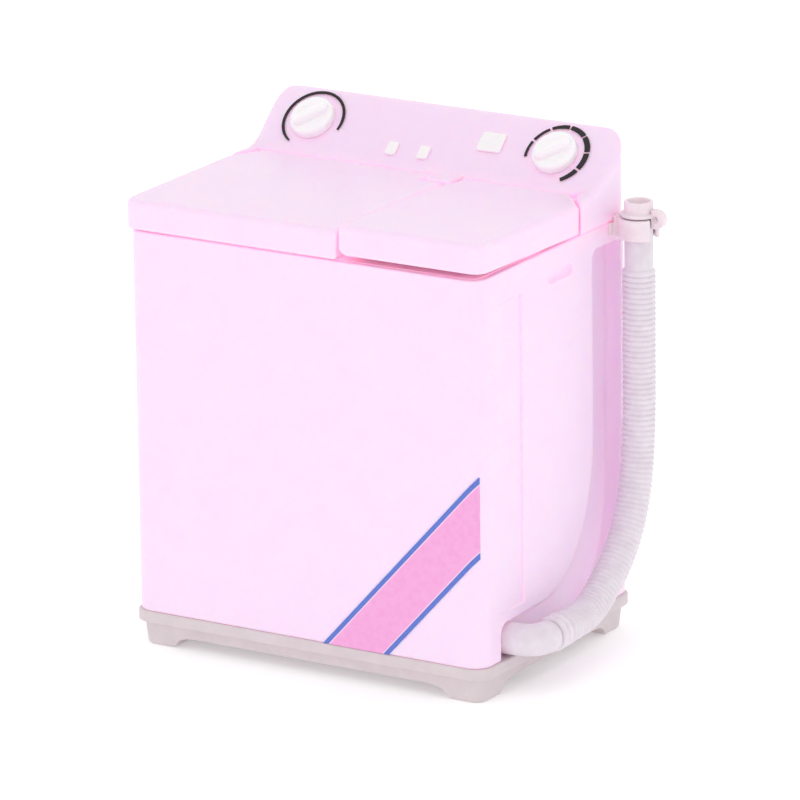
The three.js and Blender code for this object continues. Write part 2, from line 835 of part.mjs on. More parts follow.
function makePulsatorClip() {
  const clip = makeAxleClip("pulsator_clip", clipRadius, axleRadius + fixingGap, clipThickness);
  clip.position.set(washTubCentreX, tubCentreY, washTubFloor - seamGap - clipThickness);
  return clip;
}

function makeSpinTub() {
  const floor = spinTubFloor - cabinetTop;
  const foot = spinTubRadius - spinTubTaper;
  const tub = turned([
    [axleRadius + runningGap, floor],
    [foot - tubWall, floor],
    [foot, floor + tubWall],
    [spinTubRadius, 0],
    [spinTubRadius + tubFlangeWidth, 0],
    [spinTubRadius + tubFlangeWidth, tubFlangeThickness],
    [spinTubRadius - tubWall, tubFlangeThickness],
    [foot - tubWall, floor + tubWall],
    [axleRadius + runningGap, floor + tubWall],
    [axleRadius + runningGap, floor],
  ]);
  const mesh = pieceOf("spin_tub", tub, palePinkPlastic);
  mesh.position.set(spinTubCentreX, tubCentreY, cabinetTop);
  return mesh;
}

const basketBottom = spinTubFloor + tubWall + seamGap;
const basketHeight = cabinetTop - basketRimDrop - basketBottom;

// Basket: a perforated can with a cone and its axle, its own zero at its under face.
function makeSpinBasket() {
  const top = spinTubRadius - tubWall - basketSideGap - basketRimRadius / 2;
  const foot = spinTubRadius - spinTubTaper - tubWall - basketSideGap;
  const can = turned([
    ...axleProfileBelow(tubWall),
    [foot - basketWall, 0],
    [foot, basketWall],
    [top, basketHeight - basketRimRadius],
    [top + basketRimRadius / 2, basketHeight - basketRimRadius / 2],
    [top, basketHeight],
    [top - basketWall, basketHeight],
    [foot - basketWall, basketWall],
    [basketConeRadius, basketWall],
    [basketConeRadius / 2, basketConeHeight],
    [0, basketConeHeight],
  ]);
  const rows = Array.from({ length: basketHoleRows }, (_, row) => row + 1);
  const holes = rows.flatMap((row) =>
    Array.from({ length: basketHoleColumns / 2 }, (_, column) => {
      const z = (basketHeight * row) / (basketHoleRows + 1);
      const turn = ((column + (row % 2) / 2) * 2 * Math.PI) / basketHoleColumns;
      const span = spinTubRadius + overrun;
      const pin = new THREE.CylinderGeometry(basketHoleRadius, basketHoleRadius, 2 * span, basketHoleSides);
      return pin.rotateZ(turn).translate(0, 0, z);
    }),
  );
  const mesh = pieceOf("spin_basket", cut(can, ...holes), whitePlastic);
  mesh.position.set(spinTubCentreX, tubCentreY, basketBottom);
  return mesh;
}

function makeBasketClip() {
  const clip = makeAxleClip("spin_basket_clip", clipRadius, axleRadius + fixingGap, clipThickness);
  clip.position.set(spinTubCentreX, tubCentreY, spinTubFloor - seamGap - clipThickness);
  return clip;
}

// Lids: plans are drawn from the hinge line, with shoulders cut for the console's cheeks.

// A lid's shoulder, slanted from its side edge to its rear edge or back, grown for the room it needs.
function addShoulder(outline, side, width, grow, rearwards) {
  const run = lidRearY - lidShoulderY;
  const startY = lidShoulderY + (grow * Math.hypot(width, run)) / width;
  const rearY = lidRearY + grow;
  const rearX = side - (Math.sign(side) * width * (rearY - startY)) / run;
  const ends = [
    [side, startY],
    [rearX, rearY],
  ];
  const [first, last] = rearwards ? ends : ends.reverse();
  outline.lineTo(...first);
  outline.lineTo(...last);
}

function washLidPlan() {
  const left = -halfWidth;
  const right = seamX - seamGap / 2;
  const front = -halfDepth;
  const rear = lidRearY;
  const notchX = hingeBlockLeft - seamGap;
  const notchY = hingeBlockNoseY - seamGap;
  const plan = new THREE.Shape();
  plan.moveTo(left + lidCornerRadius, front);
  plan.lineTo(right, front);
  plan.lineTo(right, notchY);
  plan.lineTo(notchX, notchY);
  plan.lineTo(notchX, rear);
  addShoulder(plan, left, leftShoulderWidth, 0, false);
  plan.lineTo(left, front + lidCornerRadius);
  plan.quadraticCurveTo(left, front, left + lidCornerRadius, front);
  return plan;
}

function spinLidPlan() {
  const left = seamX + seamGap / 2;
  const right = halfWidth;
  const front = -halfDepth + spinLidSetback;
  const rear = lidRearY;
  const notchX = hingeBlockRight + seamGap;
  const notchY = hingeBlockNoseY - seamGap;
  const plan = new THREE.Shape();
  plan.moveTo(left, front);
  plan.lineTo(right - lidCornerRadius, front);
  plan.quadraticCurveTo(right, front, right, front + lidCornerRadius);
  addShoulder(plan, right, rightShoulderWidth, 0, true);
  plan.lineTo(notchX, rear);
  plan.lineTo(notchX, notchY);
  plan.lineTo(left, notchY);
  return plan;
}

// A lid's block: its plan with rounded top edges, cut off level at the skirt's foot.
function lidBlock(plan) {
  const rounded = new THREE.ExtrudeGeometry(plan, {
    depth: lidHeight,
    bevelEnabled: true,
    bevelThickness: lidEdgeRadius,
    bevelSize: lidEdgeRadius,
    bevelOffset: -lidEdgeRadius,
    bevelSegments: edgeSteps,
    curveSegments: cornerSteps,
  });
  rounded.translate(0, 0, skirtBottom - lidEdgeRadius);
  const under = box(-bodyWidth, bodyWidth, -bodyDepth, bodyDepth, skirtBottom - bodyDepth, skirtBottom);
  return cut(rounded, under);
}

function trunnionAt(left, right) {
  return rodAlongX(trunnionRadius, left, right, hingeY, hingeHeight);
}

function placeLid(name, solid, centreX) {
  const mesh = pieceOf(name, solid, pinkPlastic);
  mesh.geometry.translate(-centreX, -hingeY, -hingeHeight);
  mesh.position.set(centreX, hingeY, hingeHeight);
  return mesh;
}

// The rear barrel is left solid about the hinge line, so the lid turns inside its own radius.
function hingeBarrel(left, right) {
  return rodAlongX(lidEdgeRadius, left, right, hingeY, hingeHeight, roundSides / 2);
}

// The space inside a lid's skirts, narrower between the shoulders and open to the hinge line.
function lidHollow(spans) {
  const front = -halfDepth + lidSkirtThickness;
  const ceiling = lidTopHeight - lidPlateThickness;
  const notchRoom = hingeBlockNoseY - seamGap - lidSkirtThickness;
  const rears = [lidShoulderY - lidSkirtThickness, notchRoom, hingeBlockFront - seamGap];
  const rooms = spans.map(([left, right], i) =>
    box(left, right, front, rears[i], skirtBottom - overrun, ceiling),
  );
  return join(...rooms);
}

// Clears the console and the hinge block behind and under the barrel.
function rearRelief(left, right) {
  const relief = box(
    left - overrun,
    right + overrun,
    hingeBlockFront - seamGap,
    lidRearY + overrun,
    skirtBottom - overrun,
    hingeHeight,
  );
  return cut(relief, hingeBarrel(left - overrun, right + overrun));
}

function makeWashLid() {
  const left = -halfWidth;
  const right = seamX - seamGap / 2;
  const barrelRight = hingeBlockLeft - seamGap;
  const innerRight = right - lidSkirtThickness;
  const shoulderLeft = leftShoulderX + lidSkirtThickness / 2;
  const hollow = lidHollow([
    [left + lidSkirtThickness, innerRight],
    [shoulderLeft, innerRight],
    [shoulderLeft, barrelRight - lidSkirtThickness],
  ]);
  const flangeTop = cabinetTop + tubFlangeThickness + seamGap;
  const flangeLeft = washTubLeft - tubFlangeWidth - seamGap;
  const flangeRoom = box(flangeLeft, innerRight, 0, hingeBlockFront, skirtBottom - overrun, flangeTop);
  const shell = cut(lidBlock(washLidPlan()), hollow, flangeRoom, rearRelief(left, right));
  const lid = join(
    shell,
    trunnionAt(leftTrunnionX - trunnionLength, leftTrunnionX + trunnionLength),
    trunnionAt(barrelRight - trunnionLength, barrelRight + trunnionLength),
  );
  return placeLid("wash_lid", lid, (left + right) / 2);
}

function makeSpinLid() {
  const left = seamX + seamGap / 2;
  const right = halfWidth;
  const foot = skirtBottom;
  const barrelLeft = hingeBlockRight + seamGap;
  const innerLeft = left + lidSkirtThickness;
  const shoulderRight = rightShoulderX - lidSkirtThickness / 2;
  const cornerFace = new THREE.Shape();
  cornerFace.moveTo(left - overrun, foot - overrun);
  cornerFace.lineTo(left + spinLidLowerCorner, foot - overrun);
  cornerFace.lineTo(left + spinLidLowerCorner, foot);
  cornerFace.quadraticCurveTo(left, foot, left, foot + spinLidLowerCorner);
  cornerFace.lineTo(left - overrun, foot + spinLidLowerCorner);
  const corner = prismAlongY(cornerFace, -bodyDepth, bodyDepth);
  const hollow = lidHollow([
    [innerLeft, right - lidSkirtThickness],
    [innerLeft, shoulderRight],
    [barrelLeft + lidSkirtThickness, shoulderRight],
  ]);
  const lid = join(
    cut(lidBlock(spinLidPlan()), corner, hollow, rearRelief(left, right)),
    trunnionAt(barrelLeft - trunnionLength, barrelLeft + trunnionLength),
    trunnionAt(rightTrunnionX - trunnionLength, rightTrunnionX + trunnionLength),
  );
  const mesh = placeLid("spin_lid", lid, (left + right) / 2);
  mesh.rotation.x = THREE.MathUtils.degToRad(-spinLidAjar);
  return mesh;
}

// Console housing: a hollow wedge with cheeks that reach forward beside the lids.

function consoleProfile() {
  const slope = Math.tan(tiltAngle);
  const lineY = (height) => consoleFrontY + (height - panelFootHeight) / slope;
  const roundStart = consoleTopHeight - consoleTopRound;
  const foot = cabinetTop + seamGap;
  const outline = new THREE.Shape();
  outline.moveTo(consoleFrontY, foot);
  outline.lineTo(consoleFrontY, panelFootHeight);
  outline.lineTo(lineY(roundStart), roundStart);
  const topFront = lineY(consoleTopHeight);
  outline.quadraticCurveTo(topFront, consoleTopHeight, topFront + consoleTopRound / 2, consoleTopHeight);
  outline.lineTo(halfDepth, consoleTopHeight);
  outline.lineTo(halfDepth, foot);
  return outline;
}

// The hollow behind the panel keeps one wall thickness all round and is open below.
function consoleHollow() {
  const shift = consoleWall / Math.sin(tiltAngle);
  const lineZ = (y) => panelFootHeight + (y - consoleFrontY - shift) * Math.tan(tiltAngle);
  const front = consoleFrontY + consoleWall;
  const rear = halfDepth - consoleWall;
  const foot = cabinetTop - overrun;
  const outline = new THREE.Shape();
  outline.moveTo(front, foot);
  outline.lineTo(front, lineZ(front));
  outline.lineTo(rear, lineZ(rear));
  outline.lineTo(rear, foot);
  return outline;
}

function cheekProfile() {
  const level = lidTopHeight + cheekRise;
  const start = lidShoulderY + seamGap;
  const bend = start + cheekLevelLength;
  const run = halfDepth - bend;
  const top = consoleTopHeight - cheekTopDrop;
  const rise = top - level;
  const curveShares = [
    [0.14, 0.03],
    [0.27, 0.13],
    [0.45, 0.355],
    [0.65, 0.6],
    [0.78, 0.8],
    [0.88, 0.95],
    [1, 1],
  ];
  const outline = new THREE.Shape();
  outline.moveTo(start, cabinetTop + seamGap);
  outline.lineTo(start, level - lidEdgeRadius / 2);
  outline.quadraticCurveTo(start, level, start + lidEdgeRadius, level);
  outline.lineTo(bend, level);
  curveShares.forEach(([runShare, riseShare]) => {
    outline.lineTo(bend + runShare * run, level + riseShare * rise);
  });
  outline.lineTo(halfDepth, cabinetTop + seamGap);
  return outline;
}

// The room that a lid's shoulder needs beside a cheek.
function shoulderRoom(side, width) {
  const outward = Math.sign(side);
  const inner = side - 2 * outward * width;
  const outer = side + outward * overrun;
  const plan = new THREE.Shape();
  plan.moveTo(inner, -halfDepth);
  plan.lineTo(outer, -halfDepth);
  plan.lineTo(outer, lidShoulderY + seamGap);
  addShoulder(plan, side, width, seamGap, true);
  plan.lineTo(inner, lidRearY + seamGap);
  return prism(plan, cabinetTop - overrun, consoleTopHeight + overrun);
}

// The room that a lid's slanted corner needs above a cheek while the lid opens.
function swingRoom(side, width) {
  const outward = Math.sign(side);
  const foot = hingeHeight - seamGap;
  const top = foot + hingeY - lidShoulderY;
  const inner = side - 2 * outward * width;
  const outline = new THREE.Shape();
  outline.moveTo(side, top);
  outline.lineTo(side - outward * width * hingeShare, foot);
  outline.lineTo(inner, foot);
  outline.lineTo(inner, top);
  return prismAlongY(outline, lidShoulderY, consoleFrontY);
}

function makeCheek(side, width) {
  const inner = side - Math.sign(side) * width;
  const blank = prismAlongX(cheekProfile(), Math.min(side, inner), Math.max(side, inner));
  return cut(blank, shoulderRoom(side, width), swingRoom(side, width));
}

function hingeBlockProfile() {
  const top = lidTopHeight + turnedSeatGap;
  const rear = consoleFrontY + hingeBlockRun;
  const rearTop = panelFootHeight + hingeBlockRun * Math.tan(tiltAngle);
  const outline = new THREE.Shape();
  outline.moveTo(hingeBlockNoseY, hingeHeight - trunnionHole - hingeBlockWall);
  outline.lineTo(hingeBlockNoseY, top - hingeBlockWall);
  outline.lineTo(hingeBlockNoseY + hingeBlockWall, top);
  outline.lineTo(consoleFrontY, top);
  outline.quadraticCurveTo((consoleFrontY + rear) / 2, top, rear, rearTop);
  outline.lineTo(rear, hingeHeight - trunnionHole - hingeBlockWall);
  return outline;
}

function makeConsole() {
  const main = prismAlongX(consoleProfile(), -halfWidth, halfWidth);
  const seat = roundedOutline(
    cabinetWidth - 2 * consoleSeatInset,
    halfDepth - consoleFrontY - 2 * consoleSeatInset,
    seamGap,
    0,
    (halfDepth + consoleFrontY) / 2,
  );
  const hinge = prismAlongX(hingeBlockProfile(), hingeBlockLeft, hingeBlockRight);
  const housing = join(
    main,
    makeCheek(-halfWidth, leftShoulderWidth),
    makeCheek(halfWidth, rightShoulderWidth),
    prism(seat, cabinetTop, cabinetTop + seamGap + consoleWall),
    hinge,
  );
  const hollowSide = halfWidth - consoleWall;
  const hollow = prismAlongX(consoleHollow(), -hollowSide, hollowSide);
  const plan = roundedOutline(bodyWidth, bodyDepth, cabinetCornerRadius);
  const trimmed = prism(plan, cabinetTop - overrun, consoleTopHeight + overrun);
  const trunnionHoles = [
    [leftTrunnionX - trunnionLength - fixingGap, leftTrunnionX + overrun],
    [hingeBlockLeft - overrun, hingeBlockLeft - seamGap + trunnionLength + fixingGap],
    [hingeBlockRight + seamGap - trunnionLength - fixingGap, hingeBlockRight + overrun],
    [rightTrunnionX - overrun, rightTrunnionX + trunnionLength + fixingGap],
  ].map(([left, right]) => rodAlongX(trunnionHole, left, right, hingeY, hingeHeight));
  const stemHoles = [
    [washKnobX, washKnobUp],
    [spinKnobX, spinKnobUp],
  ].map(([x, up]) => {
    const hole = rod(axleRadius + runningGap, -knobStemLength, overrun, roundSides).translate(x, up, 0);
    return hole.rotateX(tiltAngle).translate(0, consoleFrontY, panelFootHeight);
  });
  const shaped = cut(common(housing, trimmed), hollow, ...trunnionHoles, ...stemHoles);
  return pieceOf("console_housing", shaped, pinkPlastic);
}

// Knobs, their clips, the scales and the inserts stand on the tilted panel.

function makeKnob(name, turn) {
  const dial = turned([
    [0, -knobStemLength],
    [axleRadius / 2, -knobStemLength],
    [axleRadius, -knobStemLength + axleRadius / 2],
    [axleRadius, turnedSeatGap],
    [knobRadius, turnedSeatGap],
    [knobRadius, knobHeight - knobEdgeRadius],
    [knobRadius - knobEdgeRadius / 3, knobHeight - knobEdgeRadius / 3],
    [knobRadius - knobEdgeRadius, knobHeight],
    [0, knobHeight],
  ]);
  const length = 2 * (knobRadius - knobEdgeRadius);
  const gripOutline = roundedOutline(length, knobGripWidth, knobGripWidth / 2 - fixingGap);
  const grip = new THREE.ExtrudeGeometry(gripOutline, {
    depth: knobGripHeight,
    bevelEnabled: true,
    bevelThickness: knobEdgeRadius / 2,
    bevelSize: knobEdgeRadius / 2,
    bevelOffset: -knobEdgeRadius / 2,
    bevelSegments: edgeSteps,
    curveSegments: edgeSteps + 1,
  });
  grip.translate(0, 0, knobHeight - knobEdgeRadius / 2);
  const mesh = pieceOf(name, join(dial, grip), whitePlastic);
  mesh.rotation.z = THREE.MathUtils.degToRad(turn);
  return mesh;
}

function knobClip(name) {
  const clip = makeAxleClip(name, knobClipRadius, axleRadius + fixingGap, knobClipThickness);
  clip.position.z = -consoleWall - turnedSeatGap - knobClipThickness;
  return clip;
}

// A printed arc whose width may swell towards its middle, as one thin plate.
function arcPlate(radius, startDegrees, endDegrees, widthAt) {
  const steps = Math.round((endDegrees - startDegrees) / arcStepDegrees);
  const outline = new THREE.Shape();
  const edge = (i, side) => {
    const share = i / steps;
    const angle = THREE.MathUtils.degToRad(startDegrees + share * (endDegrees - startDegrees));
    const reach = radius + (side * widthAt(share)) / 2;
    return [reach * Math.cos(angle), reach * Math.sin(angle)];
  };
  outline.moveTo(...edge(0, 1));
  for (let i = 1; i <= steps; i += 1) outline.lineTo(...edge(i, 1));
  for (let i = steps; i >= 0; i -= 1) outline.lineTo(...edge(i, -1));
  return outline;
}

function makeWashScale() {
  const outline = arcPlate(washScaleRadius, washScaleStart, washScaleEnd, () => washScaleWidth);
  const plate = prism(outline, turnedSeatGap, turnedSeatGap + scaleThickness);
  return pieceOf("wash_dial_scale", plate, blackPrint);
}

// The spin scale is wider at the right, and grooves half its thickness part it into blocks.
function makeSpinScale() {
  const widthAt = (share) =>
    spinScaleWidth + spinScaleSwell * Math.sin(Math.PI * Math.min(1, spinSwellStart + spinSwellRate * share));
  const outline = arcPlate(spinScaleRadius, spinScaleStart, spinScaleEnd, widthAt);
  const plate = prism(outline, turnedSeatGap, turnedSeatGap + scaleThickness);
  const grooves = Array.from({ length: spinScaleParts - 1 }, (_, i) => {
    const share = (i + 1) / spinScaleParts;
    const angle = THREE.MathUtils.degToRad(spinScaleStart + share * (spinScaleEnd - spinScaleStart));
    const groove = box(
      spinScaleRadius - overrun,
      spinScaleRadius + overrun,
      -scaleNotch / 2,
      scaleNotch / 2,
      turnedSeatGap + scaleThickness / 2,
      turnedSeatGap + scaleThickness + overrun,
    );
    return groove.rotateZ(angle);
  });
  return pieceOf("spin_dial_scale", cut(plate, ...grooves), blackPrint);
}

function makeInsert(name, width, height, x, up) {
  const plate = prism(
    roundedOutline(width, height, insertCorner),
    turnedSeatGap,
    turnedSeatGap + insertThickness,
    edgeSteps,
  );
  const mesh = pieceOf(name, plate, whitePlastic);
  mesh.position.set(x, up, 0);
  return mesh;
}

// Sticker: a diagonal band of film that lies on the front face and wraps the rounded corner.

function makeSticker() {
  const slope = Math.tan(THREE.MathUtils.degToRad(stickerSlope));
  const bottom = baseHeight + stickerBottomGap;
  const heightAt = (foot, x) => bottom + (x - foot) * slope;
  const band = new THREE.Shape();
  band.moveTo(stickerUpperFoot, bottom);
  band.lineTo(stickerLowerFoot, bottom);
  band.lineTo(stickerRight, heightAt(stickerLowerFoot, stickerRight));
  band.lineTo(stickerRight, heightAt(stickerUpperFoot, stickerRight));
  const skinOutline = roundedOutline(
    cabinetWidth + 2 * stickerThickness,
    cabinetDepth + 2 * stickerThickness,
    cabinetCornerRadius + stickerThickness,
  );
  const cabinetOutline = roundedOutline(cabinetWidth, cabinetDepth, cabinetCornerRadius);
  const skin = cut(
    prism(skinOutline, baseHeight, cabinetTop),
    prism(cabinetOutline, baseHeight - overrun, cabinetTop + overrun),
  );
  const film = common(skin, prismAlongY(band, -bodyDepth, cabinetFront + cabinetCornerRadius));
  return pieceOf("front_sticker", film, stickerFilm);
}

// Drain elbow: leaves the cabinet sideways, bends to the rear and ends in a spigot.

const elbowBendX = hoseX - elbowBend;
const elbowEndY = elbowY + elbowBend + elbowOutlet;
const hoseStartY = elbowEndY + seamGap;

// Places along the elbow, each with the way that the tube runs there.
function elbowStops() {
  const straightAcross = { at: new THREE.Vector3(elbowStartX, elbowY, elbowHeight), turn: 0 };
  const bend = Array.from({ length: elbowRings }, (_, i) => {
    const turn = (i * Math.PI) / 2 / (elbowRings - 1);
    const x = elbowBendX + elbowBend * Math.sin(turn);
    const y = elbowY + elbowBend * (1 - Math.cos(turn));
    return { at: new THREE.Vector3(x, y, elbowHeight), turn };
  });
  const straightBack = { at: new THREE.Vector3(hoseX, elbowEndY, elbowHeight), turn: Math.PI / 2 };
  return [straightAcross, ...bend, straightBack];
}

// A ring of points square to a tube: counted from side towards lift, seen against the tube's run.
function tubeRing(at, side, lift, reach, sides, offset = 0) {
  return Array.from({ length: sides }, (_, i) => {
    const angle = ((i + offset) * 2 * Math.PI) / sides;
    return at
      .clone()
      .addScaledVector(side, reach * Math.cos(angle))
      .addScaledVector(lift, reach * Math.sin(angle));
  });
}

// Joins outer rings, bore rings and the two end faces into one closed skin.
function tubeSkin(outer, inner) {
  const sides = outer[0].length;
  const places = [...outer, ...inner].flat().flatMap((point) => [point.x, point.y, point.z]);
  const faces = [];
  const wrap = (first, second) => {
    for (let i = 0; i < sides; i += 1) {
      const next = (i + 1) % sides;
      faces.push(first + i, first + next, second + next, first + i, second + next, second + i);
    }
  };
  const bore = outer.length * sides;
  const outerEnd = bore - sides;
  const boreEnd = bore + (inner.length - 1) * sides;
  for (let ring = 0; ring < outerEnd; ring += sides) wrap(ring, ring + sides);
  for (let ring = bore; ring < boreEnd; ring += sides) wrap(ring + sides, ring);
  wrap(bore, 0);
  wrap(outerEnd, boreEnd);
  const geometry = new THREE.BufferGeometry();
  geometry.setAttribute("position", new THREE.BufferAttribute(new Float32Array(places), 3));
  geometry.setIndex(faces);
  return geometry;
}

function pipeAlongY(radius, bore, front, back) {
  return cut(
    rodAlongY(radius, front, back, hoseX, elbowHeight),
    rodAlongY(bore, front - overrun, back + overrun, hoseX, elbowHeight),
  );
}

function makeElbow() {
  const upward = new THREE.Vector3(0, 0, 1);
  const ringsOf = (reach) =>
    elbowStops().map(({ at, turn }) => {
      const side = new THREE.Vector3(-Math.sin(turn), Math.cos(turn), 0);
      return tubeRing(at, side, upward, reach, roundSides / 2);
    });
  const body = tubeSkin(ringsOf(elbowRadius), ringsOf(hoseBore));
  const spigotFoot = elbowEndY - spigotLength;
  const web = pipeAlongY(hoseBore + fixingGap, spigotBore, spigotFoot, elbowEndY - seamGap);
  const spigot = pipeAlongY(spigotRadius, spigotBore, spigotFoot, elbowEndY + spigotLength);
  return pieceOf("drain_elbow", join(body, web, spigot), hoseRubber);
}

function makeElbowNut() {
  const inner = channelFloor - channelSkin - fixingGap;
  const outer = inner - nutThickness;
  const holeRadius = elbowRadius + fixingGap;
  const hole = rodAlongX(holeRadius, outer - overrun, inner + overrun, elbowY, elbowHeight, roundSides);
  const nut = cut(rodAlongX(nutRadius, outer, inner, elbowY, elbowHeight, nutSides), hole);
  return pieceOf("drain_elbow_nut", nut, greyPlastic);
}

// Drain hose: its route lies in one upright plane beside the cabinet.

const hoseEndHeight = clipBottom + clipHeight - fixingGap;

// The route behind the elbow's spigot, as shares of the way back and of the way up
const hoseRouteShares = [
  [0.139, 0],
  [0.254, 0],
  [0.38, 0.005],
  [0.491, 0.023],
  [0.614, 0.059],
  [0.713, 0.095],
  [0.823, 0.151],
  [0.912, 0.225],
  [0.966, 0.315],
  [0.989, 0.41],
  [0.999, 0.51],
  [1, 0.63],
  [1, 0.815],
  [1, 1],
];

function hosePath() {
  const back = hoseTopY - hoseStartY;
  const rise = hoseEndHeight - elbowHeight;
  const route = [
    [hoseStartY, elbowHeight],
    [hoseStartY + spigotLength, elbowHeight],
    ...hoseRouteShares.map(([backShare, riseShare]) => [
      hoseStartY + backShare * back,
      elbowHeight + riseShare * rise,
    ]),
  ];
  const place = (y, z) => new THREE.Vector3(hoseX, y, z);
  return new THREE.CatmullRomCurve3(route.map(([y, z]) => place(y, z)), false, "centripetal");
}

// Distances along the hose and the radius at each: strong ribs, fine ribs, then the plain cuff.
function hoseRings(length) {
  const rings = [[0, ribValleyRadius]];
  let at = 0;
  for (let i = 0; i < collarRibs; i += 1) {
    rings.push([at + collarRibPitch / 2, collarRibCrest], [at + collarRibPitch, ribValleyRadius]);
    at += collarRibPitch;
  }
  const room = length - hoseCuffLength - at;
  const ribs = Math.floor(room / ribPitch);
  const pitch = room / ribs;
  for (let i = 0; i < ribs; i += 1) {
    rings.push([at + pitch / 2, ribCrestRadius], [at + pitch, ribValleyRadius]);
    at += pitch;
  }
  rings.push([at + ribPitch / 4, hoseCuffRadius], [length, hoseCuffRadius]);
  return rings;
}

function makeHose() {
  const path = hosePath();
  path.arcLengthDivisions = hoseLengthSteps;
  const length = path.getLength();
  const rings = hoseRings(length);
  const side = new THREE.Vector3(1, 0, 0);
  const ringAt = (distance, reach) => {
    const share = Math.min(1, distance / length);
    const lift = new THREE.Vector3().crossVectors(path.getTangentAt(share), side).normalize();
    return tubeRing(path.getPointAt(share), side, lift, reach, ringPoints, 0.5);
  };
  const outer = rings.map(([distance, reach]) => ringAt(distance, reach));
  const every = 2 * boreRingEvery;
  const boreStops = rings.filter((_, i) => i % every === 0 || i === rings.length - 1);
  const inner = boreStops.map(([distance]) => ringAt(distance, hoseBore));
  const ribs = rings.filter(([, reach]) => reach > ribValleyRadius).length;
  console.log("hose length " + length.toFixed(1) + " mm, " + ribs + " ribs");
  return pieceOf("drain_hose", tubeSkin(outer, inner), hoseRubber);
}

// Clip: a pad on the cabinet, an arm and a collar that opens away from the machine.

function makeHoseClip() {
  const top = clipBottom + clipHeight;
  const padRight = cabinetSide + clipPadThickness;
  const padFront = hoseTopY - clipPadWidth / 2;
  const padBack = hoseTopY + clipPadWidth / 2;
  const pad = box(cabinetSide, padRight, padFront, padBack, clipBottom, cabinetTop);
  const armLeft = halfWidth + seamGap;
  const armRight = hoseX - clipCollarBore;
  const armFront = hoseTopY - clipArmWidth / 2;
  const armBack = hoseTopY + clipArmWidth / 2;
  const armFoot = box(cabinetSide, armRight, armFront, armBack, clipBottom, cabinetTop);
  const arm = box(armLeft, armRight, armFront, armBack, clipBottom, top);
  const collar = rod(clipCollarRadius, clipBottom, top, roundSides).translate(hoseX, hoseTopY, 0);
  const bore = rod(clipCollarBore, clipBottom - overrun, top + overrun, roundSides)
    .translate(hoseX, hoseTopY, 0);
  const spread = THREE.MathUtils.degToRad(clipMouthAngle);
  const reach = 2 * clipCollarRadius;
  const mouth = new THREE.Shape();
  mouth.moveTo(hoseX, hoseTopY);
  mouth.lineTo(hoseX + reach * Math.cos(spread), hoseTopY - reach * Math.sin(spread));
  mouth.lineTo(hoseX + reach * Math.cos(spread), hoseTopY + reach * Math.sin(spread));
  const clip = cut(join(pad, armFoot, arm, collar), bore, prism(mouth, clipBottom - overrun, top + overrun));
  return pieceOf("hose_clip", clip, clipPlastic);
}

// End socket: a flange on the clip's collar, a short open tube, a spigot in the hose and a lug.

function makeEndSocket() {
  const base = clipBottom + clipHeight + fixingGap;
  const rim = base + socketFlangeThickness;
  const tube = turned([
    [socketBore, base],
    [socketFlangeRadius, base],
    [socketFlangeRadius, rim],
    [socketRadius, rim],
    [socketRadius, base + socketHeight],
    [socketBore, base + socketHeight],
    [socketBore, base],
  ]).translate(hoseX, hoseTopY, 0);
  const spigot = turned([
    [spigotBore, base - spigotLength],
    [spigotRadius, base - spigotLength],
    [spigotRadius, base],
    [socketBore + fixingGap, base],
    [socketBore + fixingGap, rim],
    [spigotBore, rim],
    [spigotBore, base - spigotLength],
  ]).translate(hoseX, hoseTopY, 0);
  const lugX = hoseX + lugReach - lugOuterRadius;
  const lugZ = rim - lugOuterRadius / 2;
  const front = hoseTopY - lugThickness / 2;
  const back = hoseTopY + lugThickness / 2;
  const bore = rod(socketBore + fixingGap, base - overrun, base + socketHeight + overrun);
  const lug = cut(
    rodAlongY(lugOuterRadius, front, back, lugX, lugZ),
    rodAlongY(lugInnerRadius, front - overrun, back + overrun, lugX, lugZ),
    bore.translate(hoseX, hoseTopY, 0),
    rod(clipCollarBore, clipBottom, base, roundSides).translate(hoseX, hoseTopY, 0),
  );
  return pieceOf("hose_end_socket", join(tube, spigot, lug), clipPlastic);
}

// Assembly

const machine = new THREE.Group();
machine.name = "toy_washing_machine";

const panel = new THREE.Group();
panel.position.set(0, consoleFrontY, panelFootHeight);
panel.rotation.x = tiltAngle;

function knobStation(knobName, clipName, scale, x, up, turn) {
  const station = new THREE.Group();
  station.position.set(x, up, 0);
  station.add(makeKnob(knobName, turn), knobClip(clipName), scale);
  return station;
}

panel.add(
  knobStation("wash_timer_knob", "wash_timer_clip", makeWashScale(), washKnobX, washKnobUp, washKnobTurn),
  knobStation("spin_timer_knob", "spin_timer_clip", makeSpinScale(), spinKnobX, spinKnobUp, spinKnobTurn),
  makeInsert("left_selector", selectorWidth, selectorHeight, leftSelectorX, selectorUp),
  makeInsert("right_selector", selectorWidth, selectorHeight, rightSelectorX, selectorUp),
  makeInsert("indicator_window", indicatorWidth, indicatorHeight, indicatorX, indicatorUp),
);

const baseScrews = baseScrewPlaces.map(({ x, y }, i) => {
  const screw = makeScrew("base_screw_" + (i + 1));
  screw.position.set(x, y, footHeight + screwHeadHeight + fixingGap / 2);
  return screw;
});

const coverScrews = coverScrewPlaces.map(({ x, z }, i) => {
  const screw = makeScrew("cover_screw_" + (i + 1));
  screw.rotation.x = Math.PI / 2;
  screw.position.set(x, coverScrewSeat, z);
  return screw;
});

machine.add(
  makeBase(),
  makeCabinet(),
  makeBackCover(),
  makeDeck(),
  makeWashTub(),
  makePulsator(),
  makePulsatorClip(),
  makeSpinTub(),
  makeSpinBasket(),
  makeBasketClip(),
  makeConsole(),
  makeWashLid(),
  makeSpinLid(),
  makeSticker(),
  makeElbow(),
  makeElbowNut(),
  makeHose(),
  makeHoseClip(),
  makeEndSocket(),
  panel,
  ...baseScrews,
  ...coverScrews,
);

// The toy's own zero is under the middle of its bounding box, hose and lug included.
machine.position.x = (halfWidth - (hoseX + lugReach)) / 2;

